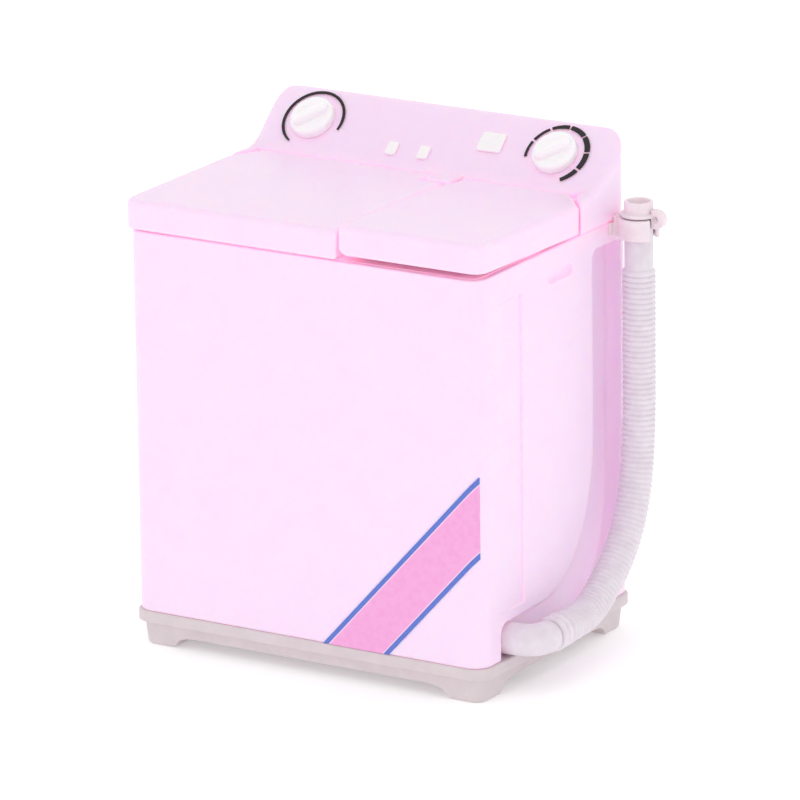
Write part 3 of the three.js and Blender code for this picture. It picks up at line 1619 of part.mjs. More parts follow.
const washingMachine = new THREE.Group();
washingMachine.add(machine);

export default washingMachine;
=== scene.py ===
import math

import bmesh
import bpy
from mathutils import Matrix, Vector


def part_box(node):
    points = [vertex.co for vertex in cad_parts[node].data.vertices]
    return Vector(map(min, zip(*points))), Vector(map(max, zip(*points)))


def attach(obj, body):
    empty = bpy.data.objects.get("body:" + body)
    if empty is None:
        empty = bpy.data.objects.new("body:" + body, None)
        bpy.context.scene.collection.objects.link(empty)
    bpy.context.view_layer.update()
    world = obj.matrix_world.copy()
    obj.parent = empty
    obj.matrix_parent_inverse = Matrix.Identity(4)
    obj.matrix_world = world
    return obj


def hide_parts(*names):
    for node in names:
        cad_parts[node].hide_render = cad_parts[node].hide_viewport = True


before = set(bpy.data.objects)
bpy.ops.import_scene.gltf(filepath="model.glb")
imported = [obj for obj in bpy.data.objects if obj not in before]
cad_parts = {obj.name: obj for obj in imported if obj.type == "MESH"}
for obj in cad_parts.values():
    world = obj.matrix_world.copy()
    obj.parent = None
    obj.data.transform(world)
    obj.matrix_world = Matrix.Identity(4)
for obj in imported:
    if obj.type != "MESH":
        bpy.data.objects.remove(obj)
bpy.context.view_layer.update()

# Toy twin-tub washing machine. Shapes are drawn in millimetres about the cabinet's middle.
mm = 0.001
cabinetLow, cabinetHigh = (Vector(corner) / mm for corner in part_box("cabinet_shell"))
middleX = (cabinetLow.x + cabinetHigh.x) / 2


def boxOf(node):
    low, high = (Vector(corner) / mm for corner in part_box(node))
    shift = Vector((middleX, 0, 0))
    return low - shift, high - shift


def linked(name, data):
    thing = bpy.data.objects.new(name, data)
    bpy.context.scene.collection.objects.link(thing)
    return thing


# Camera, at the photograph's viewing angle
cameraLook = {
    "azimuth": 0.54911,  # radians round from the front
    "elevation": 0.29182,
    "roll": -0.01318,
    "place": (496.07, -805.79, 317.73),  # from the cabinet's middle
    "lens": 326.83,
}


def makeCamera(look):
    azimuth, elevation, roll = look["azimuth"], look["elevation"], look["roll"]
    back = Vector((
        math.sin(azimuth) * math.cos(elevation),
        -math.cos(azimuth) * math.cos(elevation),
        math.sin(elevation),
    ))
    level = Vector((math.cos(azimuth), math.sin(azimuth), 0))
    upright = back.cross(level)
    right = level * math.cos(roll) + upright * math.sin(roll)
    up = upright * math.cos(roll) - level * math.sin(roll)
    data = bpy.data.cameras.new("view")
    data.lens = look["lens"]
    data.sensor_width = 36
    data.clip_start = 0.01
    data.clip_end = 20
    camera = linked("view", data)
    place = (Vector(look["place"]) + Vector((middleX, 0, 0))) * mm
    turn = Matrix((right, up, back)).transposed().to_4x4()
    camera.matrix_world = Matrix.Translation(place) @ turn
    bpy.context.scene.camera = camera


makeCamera(cameraLook)
print("camera placed")


# Finishes: each is a node tree on the piece's own coordinates

def paint(hexColour):
    value = int(hexColour, 16)
    parts = [(value >> shift & 255) / 255 for shift in (16, 8, 0)]
    linear = [p / 12.92 if p <= 0.04045 else ((p + 0.055) / 1.055) ** 2.4 for p in parts]
    return (*linear, 1)


def startMaterial(name):
    material = bpy.data.materials.new(name)
    material.use_nodes = True
    tree = material.node_tree
    tree.nodes.clear()
    return material, tree


# A node with its settings; an input is a value or another node's output
def addNode(tree, kind, inputs=None, **settings):
    node = tree.nodes.new(kind)
    for key, value in settings.items():
        setattr(node, key, value)
    for key, value in (inputs or {}).items():
        if isinstance(value, bpy.types.NodeSocket):
            tree.links.new(value, node.inputs[key])
        else:
            node.inputs[key].default_value = value
    return node


def mathStep(tree, operation, *values):
    return addNode(tree, "ShaderNodeMath", dict(enumerate(values)), operation=operation).outputs[0]


def millimetreSpace(tree, place=(0, 0, 0)):
    return addNode(tree, "ShaderNodeMapping", {
        "Vector": addNode(tree, "ShaderNodeTexCoord").outputs["Object"],
        "Location": place, "Scale": (1 / mm, 1 / mm, 1 / mm),
    }).outputs["Vector"]


def colourRamp(tree, source, stops, interpolation="LINEAR"):
    ramp = addNode(tree, "ShaderNodeValToRGB", {"Fac": source})
    ramp.color_ramp.interpolation = interpolation
    elements = ramp.color_ramp.elements
    while len(elements) < len(stops):
        elements.new(0.5)
    for element, (place, colour) in zip(elements, stops):
        element.position = place
        element.color = colour
    return ramp.outputs["Color"]


def spread(tree, source, low, high):
    limits = {"Value": source, "To Min": low, "To Max": high}
    return addNode(tree, "ShaderNodeMapRange", limits).outputs["Result"]


def noise(tree, space, scale, detail, roughness):
    return addNode(tree, "ShaderNodeTexNoise", {
        "Vector": space, "Scale": scale, "Detail": detail, "Roughness": roughness,
    }).outputs["Fac"]


def finishTree(tree, look, colour, sheen, relief):
    bump = addNode(tree, "ShaderNodeBump", {
        "Height": relief, "Strength": look["grainStrength"], "Distance": look["grainDepth"] * mm,
    })
    shader = addNode(tree, "ShaderNodeBsdfPrincipled", {
        "Base Color": colour, "Roughness": sheen, "Normal": bump.outputs["Normal"],
        "Subsurface Weight": look.get("glow", 0),
        "Subsurface Radius": look.get("glowColour", (1, 0.3, 0.45)),
        "Subsurface Scale": look.get("glowDepth", 1) * mm,
        "IOR": look.get("ior", 1.46),
        "Metallic": look.get("metal", 0),
        "Coat Weight": look.get("coat", 0),
        "Coat Roughness": look.get("coatRoughness", 0.2),
    })
    if "paintedSeamGlow" in look:
        # painted glow: an emission, strongest where ambient occlusion finds seams and gaps shaded,
        # stands in for light that comes through the plastic
        nearness = addNode(tree, "ShaderNodeAmbientOcclusion", {"Distance": look["paintedSeamGlowReach"] * mm},
                           samples=8)
        glow = spread(tree, nearness.outputs["AO"], look["paintedSeamGlow"], 0)
        tree.links.new(glow, shader.inputs["Emission Strength"])
        shader.inputs["Emission Color"].default_value = paint(look["paintedSeamGlowColour"])
    addNode(tree, "ShaderNodeOutputMaterial", {"Surface": shader.outputs["BSDF"]})


# Injection-moulded plastic: faint colour clouds, uneven gloss and a fine mould grain
def mouldedPlastic(name, look):
    material, tree = startMaterial(name)
    space = millimetreSpace(tree)
    cloud = noise(tree, space, look["cloudScale"], 3, 0.55)
    grain = noise(tree, space, look["grainScale"], 4, 0.6)
    colour = colourRamp(tree, cloud, [(0.3, paint(look["shade"])), (0.7, paint(look["colour"]))])
    finishTree(tree, look, colour, spread(tree, cloud, *look["roughness"]), grain)
    return material


finishLooks = {
    "pinkGlossPlastic": {
        "colour": "FFE3FE", "shade": "FEE0FC", "cloudScale": 0.2, "grainScale": 5.5,
        "roughness": (0.27, 0.37), "grainStrength": 0.12, "grainDepth": 0.012,
        "glow": 0.5, "glowColour": (1, 0.22, 0.42), "glowDepth": 0.7, "coat": 0.1,
        # painted glow: rosy emission in seams and gaps where the surface is occluded
        "paintedSeamGlow": 0.22, "paintedSeamGlowColour": "FF98AC", "paintedSeamGlowReach": 2.2,
    },
    "pinkInnerPlastic": {
        "colour": "FFE9FB", "shade": "FCE2F6", "cloudScale": 0.25, "grainScale": 6.0,
        "roughness": (0.34, 0.46), "grainStrength": 0.15, "grainDepth": 0.014,
        "glow": 0.3, "glowColour": (1, 0.3, 0.45), "glowDepth": 0.8,
        # painted glow: rosy emission in seams and gaps where the surface is occluded
        "paintedSeamGlow": 0.5, "paintedSeamGlowColour": "FFA2B6", "paintedSeamGlowReach": 4.0,
    },
    "warmGreyPlastic": {
        "colour": "DCD1D4", "shade": "D4C9CC", "cloudScale": 0.35, "grainScale": 8.0,
        "roughness": (0.42, 0.56), "grainStrength": 0.25, "grainDepth": 0.016,
        "glow": 0.1, "glowColour": (1, 0.7, 0.7), "glowDepth": 0.8,
    },
    "whiteGlossPlastic": {
        "colour": "FFFDFF", "shade": "FFFAFD", "cloudScale": 0.4, "grainScale": 8.0,
        "roughness": (0.24, 0.34), "grainStrength": 0.1, "grainDepth": 0.01,
        "glow": 0.35, "glowColour": (1, 0.45, 0.6), "glowDepth": 1.2, "coat": 0.1,
    },
    "hoseVinyl": {
        "colour": "E8E1E8", "shade": "E0D7DF", "cloudScale": 0.6, "grainScale": 10.0,
        "roughness": (0.36, 0.5), "grainStrength": 0.18, "grainDepth": 0.01,
        "glow": 0.3, "glowColour": (1, 0.8, 0.9), "glowDepth": 0.8,
    },
    "clipNylon": {
        "colour": "F4E7EC", "shade": "EBDAE1", "cloudScale": 0.5, "grainScale": 9.0,
        "roughness": (0.36, 0.48), "grainStrength": 0.18, "grainDepth": 0.01,
        "glow": 0.3, "glowColour": (1, 0.6, 0.65), "glowDepth": 0.8,
    },
    "blackDialPrint": {
        "colour": "1A151C", "shade": "110D13", "cloudScale": 1.4, "grainScale": 14.0,
        "roughness": (0.38, 0.55), "grainStrength": 0.2, "grainDepth": 0.006,
    },
    "screwSteel": {
        "colour": "C9C9CC", "shade": "B4B4B8", "cloudScale": 2.0, "grainScale": 16.0,
        "roughness": (0.24, 0.38), "grainStrength": 0.2, "grainDepth": 0.006, "metal": 1,
    },
}
finishes = {name: mouldedPlastic(name, look) for name, look in finishLooks.items()}

stickerLook = {
    "upperFoot": 2.75, "lowerFoot": 13.1, "slope": 47.8, "right": 27.0, "thickness": 0.12,
    "bottomGap": 0.05, "border": 0.62, "hairline": 0.16,
    "blue": "4C6CC8", "blueShade": "5E7CD2", "hairColour": "F8CCE9",
    "pink": "F3A6DB", "pinkDeep": "F09FD5", "pinkWarm": "F4ADDC",
    "mottleScale": 1.1, "grainScale": 7.0, "roughness": (0.24, 0.4),
    "grainStrength": 0.2, "grainDepth": 0.008, "coat": 0.3,
}


# Printed film: two stripes along the slanted edges, a pale hairline inside each, a mottled field
def printedFilm(name, look, low):
    material, tree = startMaterial(name)
    slope = math.radians(look["slope"])
    space = millimetreSpace(tree, (-(middleX + look["upperFoot"]), 0, -low))
    split = addNode(tree, "ShaderNodeSeparateXYZ", {"Vector": space})
    along = mathStep(tree, "MULTIPLY", split.outputs["X"], math.sin(slope))
    drop = mathStep(tree, "MULTIPLY", split.outputs["Z"], math.cos(slope))
    across = mathStep(tree, "SUBTRACT", along, drop)
    half = (look["lowerFoot"] - look["upperFoot"]) * math.sin(slope) / 2
    fromMiddle = mathStep(tree, "ABSOLUTE", mathStep(tree, "SUBTRACT", across, half))
    share = mathStep(tree, "DIVIDE", mathStep(tree, "SUBTRACT", half, fromMiddle), half)
    mottle = noise(tree, space, look["mottleScale"], 5, 0.65)
    grain = noise(tree, space, look["grainScale"], 3, 0.55)
    field = colourRamp(tree, mottle, [
        (0.3, paint(look["pinkDeep"])), (0.5, paint(look["pink"])), (0.72, paint(look["pinkWarm"])),
    ])
    ink = colourRamp(tree, grain, [(0.35, paint(look["blue"])), (0.7, paint(look["blueShade"]))])
    stripeEnd = look["border"] / half
    hairEnd = (look["border"] + look["hairline"]) / half
    black, white = (0, 0, 0, 1), (1, 1, 1, 1)
    isField = colourRamp(tree, share, [(0, black), (stripeEnd, white)], "CONSTANT")
    isHair = colourRamp(tree, share, [(0, black), (stripeEnd, white), (hairEnd, black)], "CONSTANT")
    printed = addNode(tree, "ShaderNodeMix", {"Factor": isField, "A": ink, "B": field},
                      data_type="RGBA")
    lined = addNode(tree, "ShaderNodeMix", {
        "Factor": isHair, "A": printed.outputs["Result"], "B": paint(look["hairColour"]),
    }, data_type="RGBA")
    finishTree(tree, look, lined.outputs["Result"], spread(tree, mottle, *look["roughness"]), grain)
    return material


print("finishes made:", len(finishes) + 1)


# Shapes

def solidFrom(vertices, faces, name="work"):
    mesh = bpy.data.meshes.new(name)
    mesh.from_pydata([tuple(v) for v in vertices], [], faces)
    shape = bmesh.new()
    shape.from_mesh(mesh)
    bmesh.ops.recalc_face_normals(shape, faces=shape.faces)
    if shape.calc_volume(signed=True) < 0:
        bmesh.ops.reverse_faces(shape, faces=shape.faces)
    shape.to_mesh(mesh)
    shape.free()
    return linked(name, mesh)


# A closed skin through rings of equally many points; looped rings join last to first
def loft(rings, looped=False):
    count = len(rings[0])
    vertices = [point for ring in rings for point in ring]
    faces = []
    last = len(rings) if looped else len(rings) - 1
    for level in range(last):
        here, there = level * count, (level + 1) % len(rings) * count
        for i in range(count):
            j = (i + 1) % count
            faces.append((here + i, here + j, there + j, there + i))
    if not looped:
        faces.append(tuple(range(count)))
        faces.append(tuple(range(len(vertices) - count, len(vertices))))
    return solidFrom(vertices, faces)


def circle(steps):
    return [2 * math.pi * i / steps for i in range(steps)]


def onAxis(axis, point, at):
    first, second = point
    return {"x": (at, first, second), "y": (first, at, second), "z": (first, second, at)}[axis]


def prism(outline, axis, low, high):
    return loft([[onAxis(axis, point, at) for point in outline] for at in (low, high)])


def turned(profile, steps=64, looped=False):
    rings = []
    for radius, height in profile:
        reach = max(radius, 1e-4)
        rings.append([(reach * math.cos(a), reach * math.sin(a), height) for a in circle(steps)])
    return loft(rings, looped)


def rod(radius, axis, low, high, centre=(0, 0), steps=48):
    outline = [(centre[0] + radius * math.cos(a), centre[1] + radius * math.sin(a))
               for a in circle(steps)]
    return prism(outline, axis, low, high)


def arcPoints(centre, radius, start, end, steps):
    points = []
    for i in range(steps + 1):
        angle = math.radians(start + (end - start) * i / steps)
        points.append((centre[0] + radius * math.cos(angle), centre[1] + radius * math.sin(angle)))
    return points


# Evenly spaced angles of a quarter turn
def quarter(steps):
    return [math.pi / 2 * i / steps for i in range(steps + 1)]


# A polygon of (x, y, radius) corners, counter-clockwise, moved inwards and rounded
def roundedPolygon(corners, inset=0.0, steps=8):
    points = []
    count = len(corners)
    for i, (x, y, radius) in enumerate(corners):
        here = Vector((x, y))
        before, after = Vector(corners[i - 1][:2]), Vector(corners[(i + 1) % count][:2])
        inWay, outWay = (here - before).normalized(), (after - here).normalized()
        inNormal, outNormal = Vector((-inWay.y, inWay.x)), Vector((-outWay.y, outWay.x))
        corner = here + (inNormal + outNormal) * (inset / (1 + inNormal.dot(outNormal)))
        turn = inWay.cross(outWay)
        side = 1 if turn > 0 else -1
        bend = math.acos(max(-1, min(1, inWay.dot(outWay))))
        reach = max(0.02, radius - side * inset)
        start = corner - inWay * reach * math.tan(bend / 2)
        centre = start + inNormal * side * reach
        spoke = start - centre
        for step in range(steps + 1):
            angle = side * bend * step / steps
            points.append((
                centre.x + spoke.x * math.cos(angle) - spoke.y * math.sin(angle),
                centre.y + spoke.x * math.sin(angle) + spoke.y * math.cos(angle),
            ))
    return points


def rectangle(left, right, front, back, radius):
    return [(left, front, radius), (right, front, radius), (right, back, radius), (left, back, radius)]


# A block on a rounded plan; each section is (inset, height)
def block(corners, sections, steps=8):
    rings = []
    for inset, height in sections:
        rings.append([(x, y, height) for x, y in roundedPolygon(corners, inset, steps)])
    return loft(rings)


def roundOver(radius, height, steps=6, downwards=False):
    sections = []
    for angle in quarter(steps):
        inset = radius * (1 - math.cos(angle))
        rise = radius * (math.sin(angle) - 1)
        sections.append((inset, height - rise if downwards else height + rise))
    return list(reversed(sections)) if downwards else sections


def quadratic(start, control, end, steps):
    points = []
    for i in range(steps + 1):
        t = i / steps
        points.append(tuple(
            (1 - t) ** 2 * a + 2 * t * (1 - t) * b + t * t * c for a, b, c in zip(start, control, end)
        ))
    return points


def cubic(start, first, second, end, steps):
    points = []
    for i in range(steps + 1):
        t = i / steps
        points.append(tuple(
            (1 - t) ** 3 * a + 3 * t * (1 - t) ** 2 * b + 3 * t * t * (1 - t) * c + t ** 3 * d
            for a, b, c, d in zip(start, first, second, end)
        ))
    return points


def settle(piece):
    graph = bpy.context.evaluated_depsgraph_get()
    made = bpy.data.meshes.new_from_object(piece.evaluated_get(graph))
    old = piece.data
    piece.modifiers.clear()
    piece.data = made
    bpy.data.meshes.remove(old)
    return piece


def combine(piece, others, operation):
    for other in others:
        step = piece.modifiers.new(operation, "BOOLEAN")
        step.operation = operation
        step.solver = "MANIFOLD"
        step.object = other
    settle(piece)
    for other in others:
        bpy.data.objects.remove(other)
    return piece


def cutFrom(piece, *others):
    return combine(piece, others, "DIFFERENCE")


def joined(piece, *others):
    return combine(piece, others, "UNION")


def moved(piece, matrix):
    piece.data.transform(matrix)
    return piece


def eased(piece, width, segments=3, angle=35):
    shape = bmesh.new()
    shape.from_mesh(piece.data)
    bmesh.ops.dissolve_limit(
        shape, angle_limit=math.radians(0.3), verts=shape.verts, edges=shape.edges,
    )
    shape.to_mesh(piece.data)
    shape.free()
    step = piece.modifiers.new("edges", "BEVEL")
    step.width = width
    step.segments = segments
    step.limit_method = "ANGLE"
    step.angle_limit = math.radians(angle)
    step.use_clamp_overlap = True
    return settle(piece)


slotFinishes = {
    "body_pink": "pinkGlossPlastic", "inner_pink": "pinkInnerPlastic", "base_grey": "warmGreyPlastic",
    "white_plastic": "whiteGlossPlastic", "hose_grey": "hoseVinyl", "clip_beige": "clipNylon",
    "black_print": "blackDialPrint", "screw_steel": "screwSteel", "sticker_film": "printedStickerFilm",
}


# Hands a piece over: millimetres to metres, smooth shading, the material its slot names, its body, and
# its CAD nodes hidden
def handOver(piece, name, slot, *nodes, body="machine", smooth=38):
    piece.name = name
    piece.data.name = name
    place = Matrix.Translation((middleX * mm, 0, 0)) @ Matrix.Scale(mm, 4)
    piece.data.transform(place)
    shape = bmesh.new()
    shape.from_mesh(piece.data)
    bmesh.ops.remove_doubles(shape, verts=shape.verts, dist=2e-7)
    bmesh.ops.dissolve_degenerate(shape, edges=shape.edges, dist=1e-7)
    shape.to_mesh(piece.data)
    shape.free()
    piece.data.polygons.foreach_set("use_smooth", [True] * len(piece.data.polygons))
    piece.data.set_sharp_from_angle(angle=math.radians(smooth))
    step = piece.modifiers.new("normals", "WEIGHTED_NORMAL")
    step.keep_sharp = True
    step.weight = 60
    settle(piece)
    piece.data.materials.clear()
    piece.data.materials.append(finishes[slotFinishes[slot]])
    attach(piece, body)
    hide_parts(*nodes)
    print(name, len(piece.data.polygons), "faces")
    return piece


# Repeats: node groups with named inputs

def startGroup(name, inputs):
    tree = bpy.data.node_groups.new(name, "GeometryNodeTree")
    kinds = {"Geometry": "Geometry", **inputs, "Material": "Material"}
    sockets = {
        label: tree.interface.new_socket(label, in_out="INPUT", socket_type="NodeSocket" + kind)
        for label, kind in kinds.items()
    }
    tree.interface.new_socket("Geometry", in_out="OUTPUT", socket_type="NodeSocketGeometry")
    names = {label: socket.identifier for label, socket in sockets.items()}
    return tree, names, addNode(tree, "NodeGroupInput").outputs


def closeGroup(tree, values, geometry):
    made = addNode(tree, "GeometryNodeRealizeInstances", {"Geometry": geometry})
    dressed = addNode(tree, "GeometryNodeSetMaterial", {
        "Geometry": made.outputs["Geometry"], "Material": values["Material"],
    })
    addNode(tree, "NodeGroupOutput", {0: dressed.outputs["Geometry"]})


def copiesOf(tree, values, points, rotation):
    part = addNode(tree, "GeometryNodeObjectInfo", {"Object": values["Part"]})
    return addNode(tree, "GeometryNodeInstanceOnPoints", {
        "Points": points, "Instance": part.outputs["Geometry"], "Rotation": rotation,
    }).outputs["Instances"]


# Copies of a part in columns round the upright axis and in rows up it
def roundRowsGroup():
    tree, names, values = startGroup("rows_round_an_axis", {
        "Part": "Object", "Columns": "Int", "Rows": "Int", "Turn": "Float", "Pitch": "Float",
    })
    columns = values["Columns"]
    points = addNode(tree, "GeometryNodeMeshLine", {
        "Count": mathStep(tree, "MULTIPLY", columns, values["Rows"]), "Offset": (0, 0, 0),
    })
    index = addNode(tree, "GeometryNodeInputIndex").outputs["Index"]
    column = mathStep(tree, "MODULO", index, columns)
    row = mathStep(tree, "FLOOR", mathStep(tree, "DIVIDE", index, columns))
    height = mathStep(tree, "MULTIPLY", row, values["Pitch"])
    turn = mathStep(tree, "MULTIPLY", column, values["Turn"])
    place = addNode(tree, "GeometryNodeSetPosition", {
        "Geometry": points.outputs["Mesh"],
        "Position": addNode(tree, "ShaderNodeCombineXYZ", {"Z": height}).outputs["Vector"],
    })
    spin = addNode(tree, "ShaderNodeCombineXYZ", {"Z": turn}).outputs["Vector"]
    closeGroup(tree, values, copiesOf(tree, values, place.outputs["Geometry"], spin))
    return tree, names


# Copies of a part on the points of the mesh that carries the group
def atPointsGroup():
    tree, names, values = startGroup("copies_at_points", {"Part": "Object", "Tilt": "Vector"})
    closeGroup(tree, values, copiesOf(tree, values, values["Geometry"], values["Tilt"]))
    return tree, names


# A ribbed skin along a curve: strong ribs first, fine ribs, then a plain cuff
def ribbedHoseGroup():
    lengths = ("Valley", "Crest", "Pitch", "Collar Crest", "Collar Pitch", "Collar Length", "Cuff",
               "Cuff Start", "Step")
    tree, names, values = startGroup("ribbed_hose", {**dict.fromkeys(lengths, "Float"), "Sides": "Int"})
    path = addNode(tree, "GeometryNodeResampleCurve", {
        "Curve": values["Geometry"], "Length": values["Step"],
    }, mode="LENGTH")
    where = addNode(tree, "GeometryNodeSplineParameter").outputs["Length"]

    def step(operation, *numbers):
        return mathStep(tree, operation, *numbers)

    def ribs(distance, pitch, crest, sharpness):
        wave = step("SINE", step("MULTIPLY", step("DIVIDE", distance, pitch), math.pi))
        rise = step("POWER", step("ABSOLUTE", wave), sharpness)
        height = step("SUBTRACT", crest, values["Valley"])
        return step("ADD", values["Valley"], step("MULTIPLY", height, rise))

    strong = ribs(where, values["Collar Pitch"], values["Collar Crest"], 0.6)
    fine = ribs(step("SUBTRACT", where, values["Collar Length"]), values["Pitch"], values["Crest"], 0.7)
    inCollar = step("LESS_THAN", where, values["Collar Length"])
    inCuff = step("GREATER_THAN", where, values["Cuff Start"])
    ribbed = step("ADD", fine, step("MULTIPLY", inCollar, step("SUBTRACT", strong, fine)))
    toCuff = step("MULTIPLY", inCuff, step("SUBTRACT", values["Cuff"], ribbed))
    ring = addNode(tree, "GeometryNodeCurvePrimitiveCircle", {
        "Resolution": values["Sides"], "Radius": 1,
    })
    skin = addNode(tree, "GeometryNodeCurveToMesh", {
        "Curve": path.outputs["Curve"], "Scale": step("ADD", ribbed, toCuff),
        "Profile Curve": ring.outputs["Curve"],
    })
    closeGroup(tree, values, skin.outputs["Mesh"])
    return tree, names


def addGroup(piece, group, values):
    tree, names = group
    step = piece.modifiers.new(tree.name, "NODES")
    step.node_group = tree
    for label, value in values.items():
        step[names[label]] = value
    return piece


def grow(piece, group, values):
    return settle(addGroup(piece, group, values))


def pointCloud(points):
    mesh = bpy.data.meshes.new("places")
    mesh.from_pydata(points, [], [])
    return linked("places", mesh)


roundRows, atPoints, ribbedHose = roundRowsGroup(), atPointsGroup(), ribbedHoseGroup()


# Sizes that several pieces share
machineLook = {
    "halfWidth": 28.0, "halfDepth": 20.3, "halfCabinet": 27.65, "cabinetFront": -20.1,
    "cabinetBack": 20.1, "baseTop": 5.05, "cabinetTop": 58.75, "cornerRadius": 2.5, "seam": 0.3,
    "lidTop": 63.15, "lidRear": 10.9, "hingeY": 10.05, "hingeZ": 62.3, "hingeHole": 0.57,
    "consoleFront": 11.2, "consoleTop": 70.2, "panelFoot": 62.9, "consoleTopDepth": 0.85,
    "leftShoulder": -25.4, "rightShoulder": 23.8, "shoulderY": 5.6, "leftPin": -25.82,
    "rightPin": 24.47, "hingeBlock": (2.65, 6.5), "hingeBlockFront": 9.13, "hingeBlockNose": 7.83,
}
(
    halfWidth, halfDepth, halfCabinet, cabinetFront, cabinetBack, baseTop, cabinetTop, cornerRadius,
    seam, lidTop, lidRear, hingeY, hingeZ, hingeHole, consoleFront, consoleTop, panelFoot,
    consoleTopDepth, leftShoulder, rightShoulder, shoulderY, leftPin, rightPin, hingeBlock,
    hingeBlockFront, hingeBlockNose,
) = machineLook.values()
panelRun = halfDepth - consoleTopDepth - consoleFront
panelRise = consoleTop - panelFoot
panelTilt = math.atan2(panelRise, panelRun)
overrun = 1.0


# Hose channel: its wall line, with the width over which the side rolls into it
channelLook = {
    "depth": 2.4, "rollDepth": 1.9, "front": -15.1, "mouthTop": 10.1, "mouthRadius": 1.8,
    "bendStart": -4.5, "bendEnd": 30.0, "inner": 10.0, "outer": 17.4, "top": 55.8,
    "footY": 8.0, "heelHeight": 24.0, "skin": 1.4,
    "rollMouth": 0.35, "rollBend": 3.6, "rollUp": 3.2, "rollRear": 0.4,
    "floorRound": 0.35, "rollShare": 0.5,
}


def channelLine(look):
    # points along the wall line with the roll width at each
    front, mouthTop, inner, outer = look["front"], look["mouthTop"], look["inner"], look["outer"]
    radius, bendStart, top = look["mouthRadius"], look["bendStart"], look["top"]
    run, rise = inner - bendStart, look["bendEnd"] - mouthTop
    small, wide, high, rear = look["rollMouth"], look["rollBend"], look["rollUp"], look["rollRear"]
    line = [(front, baseTop - overrun, small), (front, baseTop + 1, small)]
    mouth = quadratic((front, mouthTop - radius), (front, mouthTop), (front + radius, mouthTop), 10)
    line += [(y, z, small) for y, z in mouth]
    for i in range(1, 7):
        share = i / 7
        line.append((front + radius + (bendStart - front - radius) * share, mouthTop,
                     small + (wide * 0.35 - small) * share ** 2))
    bend = cubic((bendStart, mouthTop), (bendStart + 0.45 * run, mouthTop),
                 (inner, mouthTop + 0.3 * rise), (inner, look["bendEnd"]), 28)
    for i, (y, z) in enumerate(bend):
        share = i / 28
        swell = math.sin(math.pi * min(1, share * 1.15)) ** 2
        level = wide * 0.35 + (high - wide * 0.35) * share
        line.append((y, z, level + (wide - level) * swell))
    for i in range(1, 9):
        line.append((inner, look["bendEnd"] + (top - 1.6 - look["bendEnd"]) * i / 8, high))
    for i, (y, z) in enumerate(arcPoints((inner + 1.5, top - 1.5), 1.5, 180, 90, 8)):
        line.append((y, z, high + (rear - high) * i / 8))
    for y, z in arcPoints((outer - 0.6, top - 0.6), 0.6, 90, 0, 6):
        line.append((y, z, rear))
    foot, heel = look["footY"], look["heelHeight"]
    heelRun, heelRise = outer - foot, heel - baseTop
    for y, z in cubic((outer, heel), (outer, baseTop + 0.35 * heelRise),
                      (foot + 0.65 * heelRun, baseTop + 0.2 * heelRise), (foot, baseTop - overrun), 24):
        line.append((y, z, rear))
    return line


def lineNormals(line):
    # outward normals of a clockwise line in the y-z plane
    normals = []
    count = len(line)
    for i in range(count):
        before, after = Vector(line[i - 1][:2]), Vector(line[(i + 1) % count][:2])
        if i == 0:
            before = Vector(line[0][:2])
        if i == count - 1:
            after = Vector(line[-1][:2])
        way = (after - before).normalized()
        normals.append(Vector((-way.y, way.x)))
    return normals


def channelRing(line, normals, x, offset, share=0.0):
    ring = []
    for (y, z, width), normal in zip(line, normals):
        reach = offset + share * width
        ring.append((x, y + normal.x * reach, z + normal.y * reach))
    return ring


def channelCutter(look):
    line = channelLine(look)
    normals = lineNormals(line)
    keep = look["rollShare"]
    rings = []
    floor = halfCabinet - look["depth"]
    rounding = look["floorRound"]
    for angle in quarter(4):
        offset = -rounding * (1 - math.sin(angle))
        rings.append(channelRing(line, normals, floor + rounding * (1 - math.cos(angle)), offset,
                                 -(1 - keep)))
    steps = 14
    for i in range(steps + 1):
        angle = math.pi / 2 * (1 - i / steps)
        depth = look["rollDepth"] * (1 - math.cos(angle))
        share = keep - math.sin(angle)
        rings.append(channelRing(line, normals, halfCabinet - depth, 0, share))
    rings.append(channelRing(line, normals, halfCabinet + overrun, 0, keep + 0.02))
    return loft(rings)


# Cabinet
cabinetLook = {
    "wall": 1.8, "rimWall": 0.9, "rimFrom": 57.3, "edge": 0.25,
    "panelFront": -15.2, "panelRear": -9.0, "panelBottom": 11.75, "panelTop": 54.4,
    "panelDepth": 0.4, "panelFrontDepth": 0.04, "panelLip": 0.22,
    "gripFront": -2.1, "gripRear": 4.5, "gripBottom": 53.95, "gripTop": 55.7, "gripDepth": 0.7,
    "coverWidth": 44.0, "coverBottom": 7.8, "coverTop": 54.8, "coverSeat": 1.0, "coverLap": 3.8,
    "coverCorner": 2.0, "elbowY": -12.6, "elbowZ": 7.6, "elbowHole": 2.35,
}


def sidePanelCutter(look, side):
    # a wedge, deep at its rear edge and running out at the front
    face = side * halfCabinet
    rings = []
    lip = look["panelLip"]
    for share, out in ((1.0, 0.0), (0.55, 0.25), (0.2, 0.6), (0.0, 1.0), (-2.0, 1.2)):
        frontX = face - side * look["panelFrontDepth"] * share
        rearX = face - side * look["panelDepth"] * share
        grown = lip * out
        front, rear = look["panelFront"] - grown * 3, look["panelRear"] + grown
        bottom, top = look["panelBottom"] - grown, look["panelTop"] + grown
        rings.append([(frontX, front, bottom), (rearX, rear, bottom), (rearX, rear, top),
                      (frontX, front, top)])
    return loft(rings)


def gripCutter(look, side):
    rings = []
    for angle in quarter(8):
        depth = look["gripDepth"] * math.cos(angle)
        shrink = 1 - math.sin(angle)
        low = look["gripBottom"] + shrink * 1.25
        high = look["gripTop"] - shrink * 0.15
        front, rear = look["gripFront"] + shrink * 0.7, look["gripRear"] - shrink * 0.7
        radius = (high - low) / 2 - 0.02
        ring = roundedPolygon(rectangle(front, rear, low, high, radius), 0, 8)
        rings.append([(side * (halfCabinet - depth), y, z) for y, z in ring])
    rings.append([(side * (halfCabinet + overrun), y, z) for y, z in ring])
    return loft(rings)


